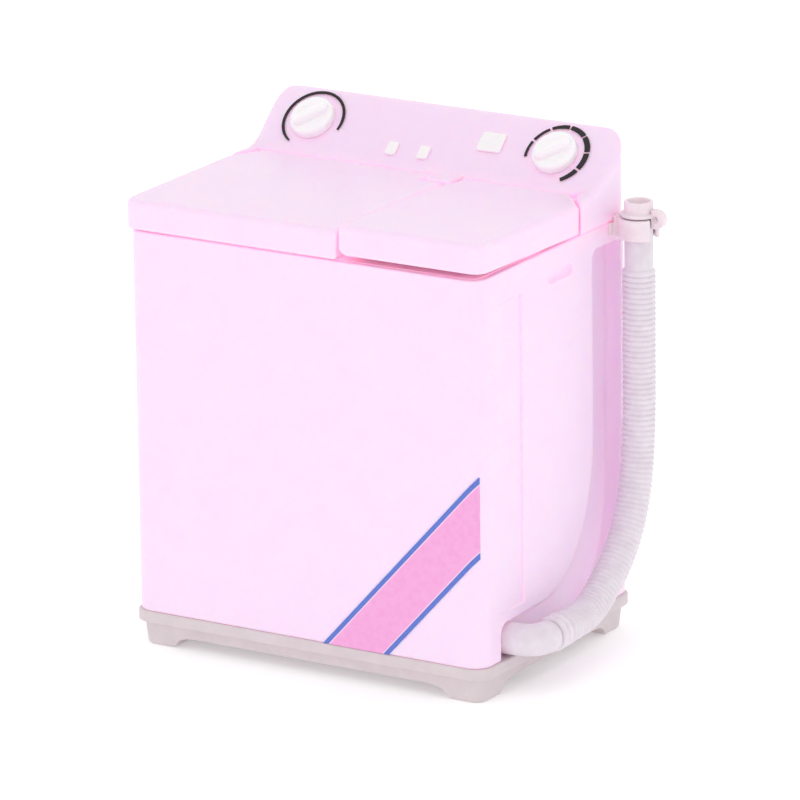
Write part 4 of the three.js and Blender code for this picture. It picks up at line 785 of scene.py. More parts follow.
def makeCabinet(look):
    front, back, radius = cabinetFront, cabinetBack, cornerRadius
    plan = rectangle(-halfCabinet, halfCabinet, front, back, radius)
    edge = look["edge"]
    sections = roundOver(edge, baseTop, 3, downwards=True) + roundOver(edge, cabinetTop, 3)
    shell = block(plan, sections, 14)
    wall, rim = look["wall"], look["rimWall"]
    inner = rectangle(-halfCabinet + wall, halfCabinet - wall, front + wall, back - wall, radius - 1)
    hollow = block(inner, [(0, baseTop - overrun), (0, cabinetTop + overrun)])
    line = channelLine(channelLook)
    normals = lineNormals(line)
    skinFrom = halfCabinet - channelLook["depth"] - channelLook["skin"]
    skin = loft([
        channelRing(line, normals, x, channelLook["skin"]) for x in (skinFrom, halfCabinet + 2)
    ])
    cutFrom(hollow, skin)
    wide = rectangle(-halfCabinet + rim, halfCabinet - rim, front + rim, back - rim, radius - rim)
    rimCut = block(wide, [(0, look["rimFrom"]), (0, cabinetTop + overrun)])
    halfCover, lap = look["coverWidth"] / 2, look["coverLap"]
    seat = rectangle(-halfCover - seam, halfCover + seam, look["coverBottom"] - seam,
                     look["coverTop"] + seam, look["coverCorner"])
    window = rectangle(-halfCover + lap, halfCover - lap, look["coverBottom"] + lap,
                       look["coverTop"] - lap, look["coverCorner"])
    seatCut = prism(roundedPolygon(seat), "y", back - look["coverSeat"], back + overrun)
    windowCut = prism(roundedPolygon(window), "y", back - wall - overrun, back + overrun)
    elbowHole = rod(look["elbowHole"], "x", halfCabinet - 6, halfCabinet + overrun,
                    (look["elbowY"], look["elbowZ"]))
    cutFrom(
        shell, hollow, rimCut, seatCut, windowCut, elbowHole, channelCutter(channelLook),
        sidePanelCutter(look, 1), sidePanelCutter(look, -1), gripCutter(look, 1), gripCutter(look, -1),
    )
    return handOver(shell, "cabinet", "body_pink", "cabinet_shell", smooth=32)


makeCabinet(cabinetLook)


# Base tray: a rim, a skirt set in under it and four feet between two arches
baseLook = {
    "rimHeight": 1.65, "inset": 0.7, "draft": 0.35, "footHeight": 1.8, "footSpanX": 5.2,
    "footSpanY": 5.2, "footCurve": 4.0, "footChamfer": 0.6, "floor": 3.2, "wall": 1.5,
    "hoseWall": 2.4, "screwX": 24.05, "screwY": 7.3, "headHole": 1.35, "edge": 0.28,
}


def archCutter(look, half, axis, reach):
    height, inner = look["footHeight"], half - look["footCurve"]
    outline = [(-half - 0.55, -overrun), (-half - 0.55, 0)]
    outline += quadratic((-half - 0.55, 0), (-half + 0.05, 0.1), (-half + 0.3, 0.75), 6)[1:]
    outline += quadratic((-half + 0.3, 0.75), (-half + look["footChamfer"] + 0.35, height),
                         (-inner, height), 12)[1:]
    outline += [(-x, z) for x, z in reversed(outline)]
    return prism(outline, axis, -reach - overrun, reach + overrun)


def makeBase(look):
    inset, draft, edge = look["inset"], look["draft"], look["edge"]
    rimBottom = baseTop - look["rimHeight"]
    radius = cornerRadius
    rim = block(rectangle(-halfWidth, halfWidth, -halfDepth, halfDepth, radius),
                roundOver(edge * 0.8, rimBottom, 4, downwards=True) + roundOver(edge, baseTop, 5), 12)
    skirtX, skirtY = halfWidth - inset, halfDepth - inset
    skirtPlan = rectangle(-skirtX, skirtX, -skirtY, skirtY, radius - inset / 2)
    foot = [(draft + 0.5, 0), (draft + 0.28, 0.06), (draft + 0.1, 0.22), (draft + 0.02, 0.5)]
    skirt = block(skirtPlan, foot + [(0, rimBottom + 0.25)], 12)
    joined(rim, skirt)
    pocket = block(rectangle(-skirtX + look["wall"], skirtX - look["hoseWall"], -skirtY + look["wall"],
                             skirtY - look["wall"], radius / 2), [(0, look["floor"]), (0, baseTop + 1)])
    cutters = [
        pocket,
        archCutter(look, skirtX - draft - look["footSpanX"], "y", halfDepth),
        archCutter(look, skirtY - draft - look["footSpanY"], "x", halfWidth),
    ]
    for x in (-look["screwX"], look["screwX"]):
        for y in (-look["screwY"], look["screwY"]):
            cutters.append(rod(look["headHole"], "z", -1, look["footHeight"] + 0.85, (x, y), 32))
    cutFrom(rim, *cutters)
    return handOver(rim, "base", "base_grey", "base_tray", smooth=30)


makeBase(baseLook)


# Openings and tubs under the lids
deckLook = {
    "low": 57.35, "halfX": 26.5, "halfY": 18.95, "edge": 0.2, "washCentre": (-10.8, -4.55),
    "washSize": (27.6, 25.7), "washCorner": 5.0, "spinCentre": (16.9, -4.55), "spinRadius": 8.4,
}
washTubLook = {
    "floor": 20.0, "wall": 0.9, "flange": 1.2, "flangeThickness": 0.7, "taper": 2.0,
    "floorRound": 1.6, "axleHole": 1.05, "lip": 0.3, "innerLip": 0.5,
}


# Lids: shells with rounded top edges, shoulders cut for the console, a rear hinge barrel
washLidLook = {
    "side": -1, "left": -28.0, "right": 5.75, "foot": 59.05, "front": -20.3, "rear": 10.9, "plate": 1.1,
    "skirt": 1.0, "edge": 0.85, "corner": 1.95, "seamCorner": 0.45, "lowerCorner": 0.6,
    "cornerReach": 0, "trunnion": 0.42, "trunnionLength": 1.2,
}
spinLidLook = dict(washLidLook, side=1, left=6.05, right=28.0, front=-20.22, lowerCorner=1.6,
                   cornerReach=20, ajar=1.45)


def lidBody(plan, hollowPlan, look):
    edge, foot = look["edge"], look["foot"]
    shell = block(plan, roundOver(0.14, foot, 3, downwards=True) + roundOver(edge, lidTop, 10), 10)
    ceiling = lidTop - look["plate"]
    hollow = block(hollowPlan, [(0, foot - overrun)] + roundOver(0.5, ceiling, 5), 6)
    # the rear stays clear below the hinge line, but for the barrel
    clearFrom, clearTo = hingeBlockFront - seam, look["rear"] + overrun
    outline = [(clearFrom, foot - 2), (clearTo, foot - 2), (clearTo, hingeZ), (hingeY + edge, hingeZ)]
    outline += arcPoints((hingeY, hingeZ), edge, 0, -180, 16)[1:]
    outline += [(clearFrom, hingeZ)]
    relief = prism(outline, "x", look["left"] - overrun, look["right"] + overrun)
    return shell, hollow, relief


def cornerRoundCutter(x, side, foot, radius, reach):
    # takes the lower corner off a skirt, seen from the front
    outline = [(x - side * overrun, foot - overrun), (x + side * radius, foot - overrun)]
    end = 180 if side > 0 else 360
    outline += arcPoints((x + side * radius, foot + radius), radius, 270, end, 12)
    outline += [(x - side * overrun, foot + radius)]
    return prism(outline, "y", -halfDepth - overrun, reach)


def trunnion(look, x):
    return rod(look["trunnion"], "x", x - look["trunnionLength"], x + look["trunnionLength"],
               (hingeY, hingeZ), 28)


# A lid's corners, counter-clockwise from the seam's front on the right and from the side's on the left
def inOrder(corners, side):
    back = corners[::-1]
    return corners if side > 0 else back[-2:] + back[:-2]


def makeLid(look, name, node, body):
    side, front, rear, skirt = look["side"], look["front"], look["rear"], look["skirt"]
    outer, inner = (look["left"], look["right"])[::-side]
    shoulder, pin = (leftShoulder, leftPin) if side < 0 else (rightShoulder, rightPin)
    notchX, notchY = hingeBlock[side > 0] + side * seam, hingeBlockNose - seam
    plan = inOrder([
        (inner, front, look["seamCorner"]), (outer, front, look["corner"]), (outer, shoulderY, 0.6),
        (shoulder, rear, 0.6), (notchX, rear, 0.4), (notchX, notchY, 0.3), (inner, notchY, 0.4),
    ], side)
    seamWall, outerWall = inner + side * skirt, outer - side * skirt
    shoulderWall, notchWall = shoulder - side * skirt / 2, notchX + side * skirt
    hingeRoom = hingeBlockFront - seam
    hollowPlan = inOrder([
        (seamWall, front + skirt, 0.8), (outerWall, front + skirt, 1.2),
        (outerWall, shoulderY - skirt, 0.4), (shoulderWall, shoulderY - skirt, 0.1),
        (shoulderWall, hingeRoom, 0.1), (notchWall, hingeRoom, 0.1),
        (notchWall, notchY - skirt, 0.1), (seamWall, notchY - skirt, 0.1),
    ], side)
    shell, hollow, relief = lidBody(plan, hollowPlan, look)
    cutters = [hollow, relief,
               cornerRoundCutter(inner, side, look["foot"], look["lowerCorner"], look["cornerReach"])]
    if side < 0:
        # room for the wash tub's flange
        x, width = deckLook["washCentre"][0], deckLook["washSize"][0]
        reach = width / 2 + washTubLook["flange"] + seam
        flangeTop = cabinetTop + washTubLook["flangeThickness"] + seam
        cutters.append(block(rectangle(x - reach, x + reach, 0, hingeBlockFront, 0.1),
                             [(0, look["foot"] - 1), (0, flangeTop)]))
    cutFrom(shell, *cutters)
    joined(shell, *(trunnion(look, x) for x in sorted((pin, notchX))))
    if "ajar" in look:
        hinge = Matrix.Translation((0, hingeY, hingeZ))
        moved(shell, hinge @ Matrix.Rotation(math.radians(-look["ajar"]), 4, "X") @ hinge.inverted())
    return handOver(shell, name, "body_pink", node, body=body)


makeLid(washLidLook, "wash_lid_shell", "wash_lid", "wash_lid_body")
makeLid(spinLidLook, "spin_lid_shell", "spin_lid", "spin_lid_body")


# Console: one skin lofted across the machine. The panel's plane turns down at its left end and flows
# at the right into a cheek with a bright ridge; both ends reach forward beside the lids' shoulders.
consoleLook = {
    "level": 63.2, "bend": 7.6, "cheekTop": 69.5, "rearCorner": 4.3, "sideRound": 0.8,
    "leftBlend": 2.7, "leftDrop": 1.3, "rightBlend": 4.6, "ridge": 0.75, "topEase": 0.16,
    "frontRound": 0.6, "footRound": 0.3, "rearRound": 0.3, "wall": 1.2, "seatInset": 0.4,
    "pinReach": 1.35, "stemHole": 1.02,
    "blockTop": 63.25, "blockFoot": 61.38, "blockDepth": 1.0, "blockRound": 0.3,
    "cheekCurve": ((0, 0), (0.14, 0.03), (0.27, 0.13), (0.45, 0.355), (0.65, 0.6), (0.78, 0.8),
                   (0.88, 0.95), (1, 1)),
}


def softMax(first, second, ease):
    gap = (first - second) / ease
    return max(first, second) + ease * math.log1p(math.exp(-abs(gap)))


def rounding(distance, radius):
    # how far a round edge lies under the level, at a distance in from its face
    inside = max(0.0, radius - max(0.0, distance))
    return radius - math.sqrt(max(0.0, radius * radius - inside * inside))


def cheekHeight(look, y):
    share = (y - look["bend"]) / (halfDepth - look["bend"])
    for (low, rise), (high, end) in zip(look["cheekCurve"], look["cheekCurve"][1:]):
        if share <= high:
            part = max(0.0, (share - low) / (high - low))
            return look["level"] + (rise + (end - rise) * part) * (look["cheekTop"] - look["level"])
    return look["cheekTop"]


# Straight between the lids, then slanted forward along their shoulders
def consoleFrontAt(x):
    shoulder = leftShoulder if x < 0 else rightShoulder
    width, run = halfWidth - abs(shoulder), lidRear - shoulderY
    start = shoulderY + seam * math.hypot(width, run) / width
    return min(consoleFront, start + (halfWidth - abs(x)) * run / width)


def consoleHeight(look, x, y):
    plane = panelFoot + (y - consoleFront) * panelRise / panelRun
    forward = max(0.0, min(1.0, (consoleFront - consoleFrontAt(x)) / 2))
    level = panelFoot + (look["level"] - panelFoot) * forward
    inner = softMax(plane, level, 0.02 + 0.2 * forward)
    if x < 0:
        share = max(0.0, min(1.0, (look["leftBlend"] - halfWidth - x) / look["leftBlend"]))
        weight = (1 - math.sqrt(1 - (0.98 * share) ** 2)) / 0.8
        outer = softMax(plane - look["leftDrop"], look["level"], 0.3)
    else:
        start = halfWidth - look["ridge"] - look["rightBlend"]
        weight = max(0.0, min(1.0, (x - start) / look["rightBlend"])) ** 2
        outer = cheekHeight(look, y)
    height = inner + (outer - inner) * weight
    return -softMax(-height, -consoleTop, look["topEase"])


def consoleStation(look, x):
    foot, ledge = cabinetTop + seam, consoleTopDepth
    front = consoleFrontAt(x)
    over = max(0.0, abs(x) - halfWidth + look["rearCorner"])
    rear = halfDepth - look["rearCorner"] + math.sqrt(max(0, look["rearCorner"] ** 2 - over * over))
    crest = rear - ledge
    forward = max(0.0, min(1.0, (consoleFront - front) / 2))
    frontRound = look["footRound"] + (look["frontRound"] - look["footRound"]) * forward
    rearRound = look["rearRound"]
    ys = [front + frontRound * (1 - math.cos(angle)) for angle in quarter(6)]
    first = ys[-1]
    ys += [first + (crest - 0.4 - first) * i / 30 for i in range(1, 31)]
    ys += [crest - 0.4 + 0.8 * i / 8 for i in range(1, 9)]
    ys += [rear - rearRound * (1 - math.sin(angle)) for angle in quarter(5)]
    drop = rounding(halfWidth - abs(x), look["sideRound"])
    top = [(y, consoleHeight(look, x, y) - drop - rounding(y - front, frontRound)
            - rounding(rear - y, rearRound)) for y in ys]
    rises = [(front, foot + (top[0][1] - foot) * i / 4) for i in range(4)]
    falls = [(rear, top[-1][1] + (foot - top[-1][1]) * i / 6) for i in range(1, 7)]
    return [(x, y, z) for y, z in rises + top + falls]


def swingRoom(outward, pinX, innerX):
    # the wedge above a cheek that a lid's slanted corner swings through
    foot = hingeZ - seam
    top = foot + hingeY - shoulderY
    inner = innerX - outward * 3
    return prism([(outward * halfWidth, top), (pinX, foot), (inner, foot), (inner, top)],
                 "y", shoulderY, consoleFront)


def makeConsole(look):
    foot, side = cabinetTop + seam, look["sideRound"]
    blockLeft, blockRight = hingeBlock
    rounded = [side * (1 - math.cos(angle)) for angle in quarter(10)]
    spans = rounded + [side + (5.6 - side) * i / 22 for i in range(1, 23)]
    places = [-halfWidth + step for step in spans] + [-18, -10, -2, 6, 12, 18]
    places += [halfWidth - step for step in reversed(spans)]
    housing = loft([consoleStation(look, x) for x in places])

    # the hinge block between the lids
    nose, low, high = hingeBlockNose, look["blockFoot"], look["blockTop"]
    blockRear, bevel = consoleFront + look["blockDepth"], look["blockRound"]
    bridge = prism([(nose, low), (nose, high - bevel), (nose + bevel, high), (blockRear, high),
                        (blockRear, low)], "x", blockLeft, blockRight)
    eased(bridge, bevel * 0.6, 3, 30)
    joined(housing, bridge)

    # hollow behind the panel, holes for the lids' pins and the knobs' stems
    wall, slope, corner = look["wall"], panelRise / panelRun, look["rearCorner"]
    shift = wall / math.sin(panelTilt)
    nearY, farY = consoleFront + wall, halfDepth - wall

    def ceiling(y):
        return panelFoot + (y - consoleFront - shift) * slope

    hollow = prism([(nearY, foot - 2), (farY, foot - 2), (farY, ceiling(farY)),
                    (nearY, ceiling(nearY))], "x", -halfWidth + corner, halfWidth - corner)
    pin = look["pinReach"]
    hinge = (hingeY, hingeZ)
    holes = [
        rod(hingeHole, "x", low, high, hinge, 28) for low, high in (
            (leftPin - pin, leftPin + 0.8), (blockLeft - 0.5, blockLeft - seam + pin),
            (blockRight + seam - pin, blockRight + 0.5), (rightPin - 0.8, rightPin + pin),
        )
    ]
    stems = [
        moved(rod(look["stemHole"], "z", -2.3, 1.0, (knob["x"], knob["up"]), 32), panelMatrix())
        for knob in (washKnobLook, spinKnobLook)
    ]
    swings = [swingRoom(-1, leftPin, leftShoulder),
              swingRoom(1, rightPin, rightShoulder)]
    cutFrom(housing, hollow, *holes, *stems, *swings)
    seat = block(rectangle(-halfCabinet + look["seatInset"], halfCabinet - look["seatInset"],
                           consoleFront + look["seatInset"], halfDepth - look["seatInset"], 4.0),
                 [(0, cabinetTop), (0, foot + 1)])
    core = block(rectangle(-halfWidth + corner, halfWidth - corner, nearY, farY, 0.2),
                 [(0, cabinetTop - 1), (0, foot + 2)])
    cutFrom(seat, core)
    joined(housing, seat)
    return handOver(housing, "console", "body_pink", "console_housing", smooth=34)


def panelMatrix():
    return (Matrix.Translation((0, consoleFront, panelFoot))
            @ Matrix.Rotation(panelTilt, 4, "X"))


washKnobLook = {
    "x": -19.85, "up": 5.95, "turn": 40, "radius": 3.2, "height": 1.3, "edge": 0.5,
    "gripHeight": 0.9, "gripWidth": 1.5, "stem": 0.9, "stemLength": 2.3, "dish": 0.12,
}
spinKnobLook = dict(washKnobLook, x=18.8, up=5.8, turn=39)
makeConsole(consoleLook)


# Knobs: a turned dial with a soft grip bar across it
def makeKnob(look, name, body, node):
    radius, height, edge = look["radius"], look["height"], look["edge"]
    profile = [(0, -look["stemLength"]), (look["stem"] - 0.3, -look["stemLength"]),
               (look["stem"], -look["stemLength"] + 0.4), (look["stem"], 0.1), (radius - 0.1, 0.1),
               (radius, 0.2)]
    profile += arcPoints((radius - edge, height - edge), edge, 0, 90, 8)
    profile += [(radius - edge - 0.35, height - 0.02), (radius - edge - 0.7, height - look["dish"]),
                (0, height - look["dish"])]
    dial = turned(profile, 72)
    half, width = radius - edge, look["gripWidth"]
    bar = rectangle(-half, half, -width / 2, width / 2, width / 2 - 0.03)
    top = height + look["gripHeight"] - edge / 2 + edge / 4
    grip = block(bar, [(-0.3, height - 0.45), (-0.12, height - 0.1), (0, height + 0.2)]
                 + roundOver(0.55, top, 8), 10)
    joined(dial, grip)
    moved(dial, panelMatrix() @ Matrix.Translation((look["x"], look["up"], 0))
          @ Matrix.Rotation(math.radians(look["turn"]), 4, "Z"))
    return handOver(dial, name, "white_plastic", node, body=body, smooth=40)


makeKnob(washKnobLook, "wash_knob", "wash_timer", "wash_timer_knob")
makeKnob(spinKnobLook, "spin_knob", "spin_timer", "spin_timer_knob")


# Printed scales round the knobs
washScaleLook = {
    "radius": 4.5, "width": 0.42, "swell": 0.0, "swellStart": 0.0, "swellRate": 1.0, "start": -15,
    "end": 240, "parts": 1, "notch": 0.0, "low": 0.1, "thickness": 0.16, "taper": 0.35,
}
spinScaleLook = dict(washScaleLook, width=0.36, swell=0.44, swellStart=0.12, swellRate=1.2, start=-62,
                     end=195, parts=7, notch=0.32, taper=0.0)


def makeScale(look, knob, name, node):
    plates = []
    span = (look["end"] - look["start"]) / look["parts"]
    notch = math.degrees(look["notch"] / look["radius"]) / 2

    def widthAt(share):
        swollen = min(1, look["swellStart"] + look["swellRate"] * share)
        swell = look["swell"] * math.sin(math.pi * swollen)
        ends = min(share, 1 - share) * 12
        thin = 1 - look["taper"] * max(0, 1 - ends)
        return (look["width"] + swell) * thin

    for part in range(look["parts"]):
        start, end = look["start"] + part * span + notch, look["start"] + (part + 1) * span - notch
        outer, inner = [], []
        steps = max(10, round((end - start) / 3))
        for i in range(steps + 1):
            angle = start + (end - start) * i / steps
            half = widthAt((angle - look["start"]) / (look["end"] - look["start"])) / 2
            for line, reach in ((outer, look["radius"] + half), (inner, look["radius"] - half)):
                line.append((reach * math.cos(math.radians(angle)),
                             reach * math.sin(math.radians(angle))))
        plates.append(prism(outer + inner[::-1], "z", look["low"], look["low"] + look["thickness"]))
    scale = plates[0]
    if len(plates) > 1:
        joined(scale, *plates[1:])
    eased(scale, 0.035, 2, 50)
    moved(scale, panelMatrix() @ Matrix.Translation((knob["x"], knob["up"], 0)))
    return handOver(scale, name, "black_print", node)


makeScale(washScaleLook, washKnobLook, "wash_scale_print", "wash_dial_scale")
makeScale(spinScaleLook, spinKnobLook, "spin_scale_print", "spin_dial_scale")


# Inserts on the panel
insertLooks = {
    "left_selector": {"x": -5.9, "up": 3.05, "width": 1.6, "height": 2.1},
    "right_selector": {"x": -0.85, "up": 3.05, "width": 1.6, "height": 2.1},
    "indicator_window": {"x": 8.55, "up": 6.2, "width": 3.7, "height": 3.1},
}


def makeInsert(node, look):
    halfW, halfH = look["width"] / 2, look["height"] / 2
    plan = rectangle(-halfW, halfW, -halfH, halfH, 0.3)
    pad = block(plan, [(0, 0.1)] + roundOver(0.12, 0.4, 4), 6)
    moved(pad, panelMatrix() @ Matrix.Translation((look["x"], look["up"], 0)))
    return handOver(pad, node + "_pad", "white_plastic", node)


for node, insertLook in insertLooks.items():
    makeInsert(node, insertLook)


# Sticker: film on the front face, wrapped part of the way round the corner
def makeSticker(look):
    low = baseTop + look["bottomGap"]
    slope = math.tan(math.radians(look["slope"]))
    right, upper, lower = look["right"], look["upperFoot"], look["lowerFoot"]
    band = [(upper, low), (lower, low), (right, low + (right - lower) * slope),
            (right, low + (right - upper) * slope)]
    thickness = look["thickness"]
    plan = rectangle(-halfCabinet, halfCabinet, cabinetFront, cabinetBack, cornerRadius)
    outer = block(plan, [(-thickness, baseTop), (-thickness, cabinetTop)], 24)
    inner = block(plan, [(-0.004, baseTop - 1), (-0.004, cabinetTop + 1)], 24)
    cutFrom(outer, inner)
    film = prism(band, "y", cabinetFront - 1, cabinetFront + cornerRadius)
    combine(film, [outer], "INTERSECT")
    finishes["printedStickerFilm"] = printedFilm("printedStickerFilm", look, low)
    return handOver(film, "sticker", "sticker_film", "front_sticker", smooth=30)


makeSticker(stickerLook)
print("body pieces made")


# Deck under the lids
def makeDeck(look):
    plate = block(rectangle(-look["halfX"], look["halfX"], -look["halfY"], look["halfY"], 1.4),
                  [(0, look["low"])] + roundOver(look["edge"], cabinetTop, 4), 8)
    (x, y), (width, depth), gap = look["washCentre"], look["washSize"], seam
    tubHole = block(rectangle(x - width / 2 - gap, x + width / 2 + gap, y - depth / 2 - gap,
                              y + depth / 2 + gap, look["washCorner"]),
                    [(0, look["low"] - 1), (0, cabinetTop + 1)], 12)
    spinHole = rod(look["spinRadius"] + gap, "z", look["low"] - 1, cabinetTop + 1,
                   look["spinCentre"], 96)
    cutFrom(plate, tubHole, spinHole)
    return handOver(plate, "deck", "inner_pink", "top_deck")


makeDeck(deckLook)


# Wash tub: a tapered box with a rolled flange, and its pulsator
def makeWashTub(look):
    x, y = deckLook["washCentre"]
    (width, depth), corner = deckLook["washSize"], deckLook["washCorner"]
    plan = rectangle(x - width / 2, x + width / 2, y - depth / 2, y + depth / 2, corner)
    floor, wall, taper, bend = look["floor"], look["wall"], look["taper"], look["floorRound"]
    top = cabinetTop + look["flangeThickness"]
    height = cabinetTop - floor
    leanAt = lambda z: taper * (cabinetTop - z) / height
    outside = [(leanAt(floor) + bend, floor)]
    for angle in quarter(6)[1:]:
        z = floor + bend * (1 - math.cos(angle))
        outside.append((leanAt(z) + bend * (1 - math.sin(angle)), z))
    outside += [(0, cabinetTop - 0.02), (-look["flange"], cabinetTop)]
    outside += arcPoints((look["lip"] - look["flange"], top - look["lip"]), look["lip"], 180, 90, 4)
    inside = arcPoints((wall - look["innerLip"], top - look["innerLip"]), look["innerLip"], 90, 0, 5)
    inFloor = floor + wall
    for angle in quarter(6):
        z = inFloor + bend * (1 - math.sin(angle))
        inside.append((leanAt(z) + wall + bend * (1 - math.cos(angle)), z))
    tub = block(plan, outside + inside, 12)
    cutFrom(tub, rod(look["axleHole"], "z", floor - 1, floor + 3, (x, y), 32))
    return handOver(tub, "wash_tub_shell", "inner_pink", "wash_tub")


makeWashTub(washTubLook)

pulsatorLook = {
    "radius": 7.05, "dish": 1.2, "finHeight": 2.6, "finThickness": 1.3, "fins": 4, "hub": 2.3,
    "hubHeight": 3.05, "hubRound": 0.5, "axle": 0.9, "axleDepth": 3.1, "base": 21.2,
}


def makePulsator(look):
    radius, dish = look["radius"], look["dish"]
    profile = [(0, -look["axleDepth"]), (look["axle"] - 0.2, -look["axleDepth"]),
               (look["axle"], -look["axleDepth"] + 0.2), (look["axle"], 0), (radius - 0.85, 0),
               (radius - 0.1, 0.35), (radius, 0.6), (radius - 0.05, dish - 0.15),
               (radius - 0.35, dish), (radius - 1.0, dish - 0.1), (radius - 2.4, dish - 0.35),
               (look["hub"] + 0.5, dish - 0.3)]
    hubRound = look["hubRound"]
    profile += arcPoints((look["hub"] - hubRound, look["hubHeight"] - hubRound), hubRound, 0, 90, 5)
    profile += [(0, look["hubHeight"])]
    disc = turned(profile, 80)
    fins = []
    for k in range(look["fins"]):
        # each fin swells from the rim to the hub
        rings = []
        for i in range(13):
            t = i / 12
            r = 0.6 + (radius - 1.2) * t
            rise = dish * 0.5 + (look["finHeight"] - dish * 0.5) * math.cos(t * math.pi / 2) ** 0.8
            half = look["finThickness"] / 2 * (0.75 + 0.25 * (1 - t))
            arch = [(-half * 1.5, 0.3), (-half * 1.2, rise * 0.45), (-half, rise * 0.75),
                    (-half * 0.6, rise * 0.95), (0, rise), (half * 0.6, rise * 0.95),
                    (half, rise * 0.75), (half * 1.2, rise * 0.45), (half * 1.5, 0.3)]
            rings.append([(r, a, b) for a, b in arch])
        fin = loft(rings)
        fins.append(moved(fin, Matrix.Rotation(2 * math.pi * k / look["fins"], 4, "Z")))
    joined(disc, *fins)
    x, y = deckLook["washCentre"]
    moved(disc, Matrix.Translation((x, y, look["base"])))
    return handOver(disc, "pulsator_disc", "white_plastic", "pulsator", body="pulsator_body", smooth=45)


makePulsator(pulsatorLook)

spinTubLook = dict(washTubLook, taper=0.8, floorRound=1.2)


def makeSpinTub(look):
    outer, floor, wall = deckLook["spinRadius"], look["floor"], look["wall"]
    top = cabinetTop + look["flangeThickness"]
    foot, bend = outer - look["taper"], look["floorRound"]
    lip, innerLip = look["lip"], look["innerLip"]
    profile = [(look["axleHole"], floor)]
    profile += arcPoints((foot - bend, floor + bend), bend, -90, 0, 6)
    profile += [(outer, cabinetTop), (outer + look["flange"], cabinetTop)]
    profile += arcPoints((outer + look["flange"] - lip, top - lip), lip, 0, 90, 4)
    profile += arcPoints((outer - wall + innerLip, top - innerLip), innerLip, 90, 180, 5)
    profile += arcPoints((foot - wall - bend, floor + wall + bend), bend, 0, -90, 6)
    profile += [(look["axleHole"], floor + wall)]
    tub = turned(profile, 96, looped=True)
    x, y = deckLook["spinCentre"]
    moved(tub, Matrix.Translation((x, y, 0)))
    return handOver(tub, "spin_tub_shell", "inner_pink", "spin_tub")


makeSpinTub(spinTubLook)

basketLook = {
    "radius": 6.9, "taper": 0.8, "wall": 0.7, "bottom": 21.2, "top": 57.15, "bead": 0.5, "hole": 0.55,
    "columns": 8, "rows": 5, "firstRow": 27.0, "rowPitch": 6.4, "cone": 2.2, "coneHeight": 4.0,
    "axle": 0.9, "axleDepth": 3.1, "floorRound": 0.9,
}


def makeBasket(look):
    bottom, top, wall, radius = look["bottom"], look["top"], look["wall"], look["radius"]
    foot = radius - look["taper"]
    bend, bead = look["floorRound"], look["bead"]
    profile = [(0, bottom - look["axleDepth"]), (look["axle"] - 0.2, bottom - look["axleDepth"]),
               (look["axle"], bottom - look["axleDepth"] + 0.2), (look["axle"], bottom)]
    profile += arcPoints((foot - bend, bottom + bend), bend, -90, 0, 6)
    beadCentre = radius - bead
    profile += [(radius - wall * 0.35, top - 2.2 * bead)]
    profile += [(beadCentre + bead * math.cos(a), top - bead + bead * math.sin(a))
                for a in (math.pi * i / 12 - 0.5 for i in range(15))]
    profile += [(radius - wall - 0.3, top - 2.6 * bead)]
    profile += arcPoints((foot - wall - bend, bottom + wall + bend), bend, 0, -90, 6)
    cone = look["cone"]
    profile += [(cone + 0.5, bottom + wall), (cone, bottom + wall + 0.4),
                (cone * 0.72, bottom + look["coneHeight"] - 0.4),
                (cone * 0.5, bottom + look["coneHeight"]), (0, bottom + look["coneHeight"])]
    basket = turned(profile, 96)
    hole = rod(look["hole"], "x", foot - wall - 1.5, radius + 1.5, (0, look["firstRow"]), 24)
    carrier = pointCloud([(0, 0, 0)])
    holes = grow(carrier, roundRows, {
        "Part": hole, "Columns": look["columns"], "Rows": look["rows"],
        "Turn": 2 * math.pi / look["columns"], "Pitch": look["rowPitch"],
        "Material": finishes["whiteGlossPlastic"],
    })
    bpy.data.objects.remove(hole)
    cutFrom(basket, holes)
    x, y = deckLook["spinCentre"]
    moved(basket, Matrix.Translation((x, y, 0)))
    return handOver(basket, "spin_basket_shell", "white_plastic", "spin_basket",
                    body="spin_basket_body")


makeBasket(basketLook)
print("tubs made")


# Rear cover with its vents
coverLook = {"ventLength": 16.0, "ventWidth": 1.2, "ventPitch": 3.0, "vents": 5, "edge": 0.18,
             "screwInset": 1.75, "headHole": 1.35, "shaftHole": 0.75}


def makeCover(look):
    half, low, high = cabinetLook["coverWidth"] / 2, cabinetLook["coverBottom"], cabinetLook["coverTop"]
    back = cabinetBack
    plan = rectangle(-half, half, low, high, cabinetLook["coverCorner"] - 0.3)
    rings = [(0, back - cabinetLook["coverSeat"])] + roundOver(look["edge"], back, 4)
    plate = loft([[(x, y, z) for x, z in roundedPolygon(plan, inset, 8)] for inset, y in rings])
    halfSlot, width = look["ventLength"] / 2, look["ventWidth"]
    middle = (low + high) / 2
    first = middle - look["ventPitch"] * (look["vents"] - 1) / 2
    slotPlan = rectangle(-halfSlot, halfSlot, first - width / 2, first + width / 2, width / 2 - 0.02)
    slot = prism(roundedPolygon(slotPlan, 0, 8), "y", back - 3, back + 1)
    slots = grow(pointCloud([(0, 0, 0)]), roundRows, {
        "Part": slot, "Columns": 1, "Rows": look["vents"], "Turn": 0.0, "Pitch": look["ventPitch"],
        "Material": finishes["pinkGlossPlastic"],
    })
    bpy.data.objects.remove(slot)
    places = coverScrewPlaces(look)
    holes = [rod(look["headHole"], "y", back - 0.6, back + 1, place, 32) for place in places]
    shafts = [rod(look["shaftHole"], "y", back - 3, back + 1, place, 24) for place in places]
    cutFrom(plate, slots, *holes, *shafts)
    return handOver(plate, "rear_cover", "body_pink", "back_cover")


